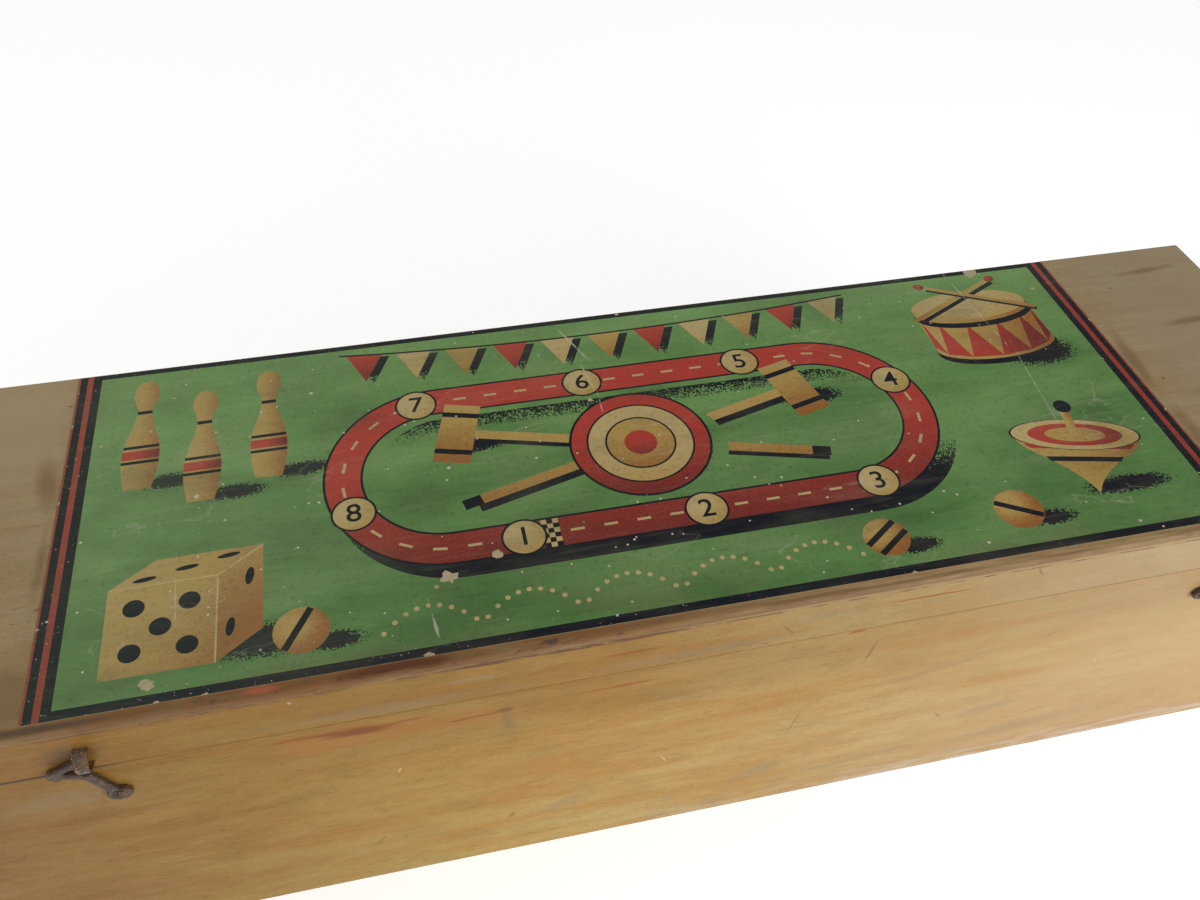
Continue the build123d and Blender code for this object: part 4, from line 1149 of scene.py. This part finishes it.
def printed_sheet(name, bottom, top):
    """A closed thin sheet whose top is cut along every outline, each part in its topmost ink."""
    points, faces, owners = [], [], []
    for order, (_, outline, _) in enumerate(shapes):
        area = sum(a[0] * b[1] - b[0] * a[1] for a, b in zip(outline, outline[1:] + outline[:1])) / 2
        if abs(area) < SLIVER:
            continue
        start = len(points)
        points.extend(Vector(p) for p in (outline if area > 0 else reversed(outline)))
        faces.append(list(range(start, len(points))))
        owners.append(order)
    flat, _, triangles, _, _, sources = delaunay_2d_cdt(points, [], faces, 1, 1e-4)
    inks = list(INKS)
    low, high = Vector((-LABEL_X, LABEL_FRONT)), Vector((LABEL_X, LABEL_BACK))
    kept = []
    for triangle, source in zip(triangles, sources):
        middle = sum((flat[i] for i in triangle), Vector((0, 0))) / 3
        if source and low.x < middle.x < high.x and low.y < middle.y < high.y:
            kept.append((list(triangle), shapes[max(owners[f] for f in source)]))
    count = len(flat)
    vertices = [(p.x * MM, p.y * MM, z) for z in (top, bottom) for p in flat]
    polygons = [t for t, _ in kept] + [[i + count for i in reversed(t)] for t, _ in kept]
    slots = [inks.index(ink) for _, (ink, _, _) in kept] + [inks.index("bare")] * len(kept)
    edges = {(a, b) for t, _ in kept for a, b in zip(t, t[1:] + t[:1])}
    for a, b in sorted(edges):
        if (b, a) not in edges:
            polygons.append([b, a, a + count, b + count])
            slots.append(inks.index("bare"))
    mesh = bpy.data.meshes.new(name)
    mesh.from_pydata(vertices, [], polygons)
    for ink in inks:
        mesh.materials.append(INKS[ink])
    mesh.polygons.foreach_set("material_index", slots)
    attribute = mesh.attributes.new("shade", "FLOAT_VECTOR", "CORNER")
    values = [shade_at(shade, flat[i]) for t, (_, _, shade) in kept for i in t]
    values += [(0.0, 0.0, 0.0)] * (len(mesh.loops) - len(values))
    attribute.data.foreach_set("vector", [n for value in values for n in value])
    mesh.validate()
    return placed(name, mesh)


sheet = printed_sheet("printed_label", LABEL_LOW.z, LABEL_HIGH.z)
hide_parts("label")
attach(sheet, "lid")


# Painted numbers on the playing pieces
def number_paint():
    g = Graph("number_paint")
    rub = g.noise(g.place, (500.0, 500.0, 500.0), 4.0, 0.6)
    colour = g.lay(PAINT_BLACK, (rub, 0.55, 0.70, 0.6, TOY_DARK))
    return g.finish(colour, g.span(rub, 0.3, 0.7, 0.35, 0.5), rub, 0.0001)


def painted_number(text, toy, drop):
    """A thin number on the front face of a piece, with its middle this far below the top."""
    low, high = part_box(toy)
    height, thickness, proud = 15.0 * MM, 0.06 * MM, 0.05 * MM
    mesh = number_mesh(text, height, thickness)
    mesh.materials.append(black_number)
    place = ((low.x + high.x) / 2, low.y - proud, high.z - drop * MM)
    mesh.transform(Matrix.Translation(place) @ Matrix.Rotation(math.radians(90.0), 4, "X"))
    piece = placed(f"number_{toy}", mesh)
    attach(piece, "case")


black_number = number_paint()
for toy, text, drop in (("double_arch", "2", 9.0), ("triple_arch", "3", 9.0), ("gate", "4", 6.0)):
    painted_number(text, toy, drop)


# Floor, light and camera
def pale_floor():
    half = 8.0
    corners = [(x * half, y * half, 0) for x, y in ((-1, -1), (1, -1), (1, 1), (-1, 1))]
    mesh = bpy.data.meshes.new("floor")
    mesh.from_pydata(corners, [], [(0, 1, 2, 3)])
    g = Graph("pale_floor")
    path = g.add("ShaderNodeLightPath").outputs
    seen = g.most(*(path[f"Is {kind} Ray"] for kind in ("Camera", "Glossy", "Transmission")))
    diffuse = g.add("ShaderNodeBsdfDiffuse", {"Color": (0.80, 0.80, 0.80, 1.0)})
    lift = g.add("ShaderNodeEmission", {"Strength": g.times(seen, 0.47)})
    both = g.add("ShaderNodeAddShader", {0: diffuse.outputs[0], 1: lift.outputs[0]})
    mesh.materials.append(g.output(both))
    placed("floor", mesh)


def white_world(strength):
    """Even light on the object, and white wherever the camera or a refraction sees it."""
    g = Graph("studio", bpy.data.worlds)
    path = g.add("ShaderNodeLightPath").outputs
    seen = g.most(path["Is Camera Ray"], path["Is Transmission Ray"])
    level = g.span(seen, 0.0, 1.0, strength, 1.0, smooth=False)
    background = g.add("ShaderNodeBackground", {"Color": (1.0, 1.0, 1.0, 1.0), "Strength": level})
    bpy.context.scene.world = g.output(background, "World")


def soft_lamp(name, place, aim, size, power):
    data = bpy.data.lights.new(name, "AREA")
    data.shape, data.size, data.energy = "DISK", size, power
    lamp = placed(name, data)
    lamp.location = place
    lamp.rotation_euler = (Vector(aim) - Vector(place)).to_track_quat("-Z", "Y").to_euler()


def photo_camera():
    """The camera that the photograph's edges give: its place, its right and its forward direction."""
    place = Vector((-0.1170, -0.3818, 0.6139))
    right, forward = Vector((0.9762, -0.2158, 0.0221)), Vector((0.1656, 0.6754, -0.7186)).normalized()
    right = (right - right.dot(forward) * forward).normalized()
    focal_pixels, width_pixels = 1055.0, 1200.0
    data = bpy.data.cameras.new("camera")
    data.sensor_width = 36.0
    data.lens = data.sensor_width * focal_pixels / width_pixels
    data.clip_start, data.clip_end = 0.01, 50.0
    camera = placed("camera", data)
    turn = Matrix((right, right.cross(forward), -forward)).transposed().to_4x4()
    camera.matrix_world = Matrix.Translation(place) @ turn
    bpy.context.scene.camera = camera


pale_floor()
white_world(0.55)
soft_lamp("key", (0.80, -0.95, 0.45), (0.15, -0.1, 0.10), 0.8, 8.2)
soft_lamp("fill", (-1.6, -0.6, 1.6), (0.0, 0.0, 0.1), 1.6, 8.0)
photo_camera()
bpy.context.scene.view_settings.view_transform = "Standard"
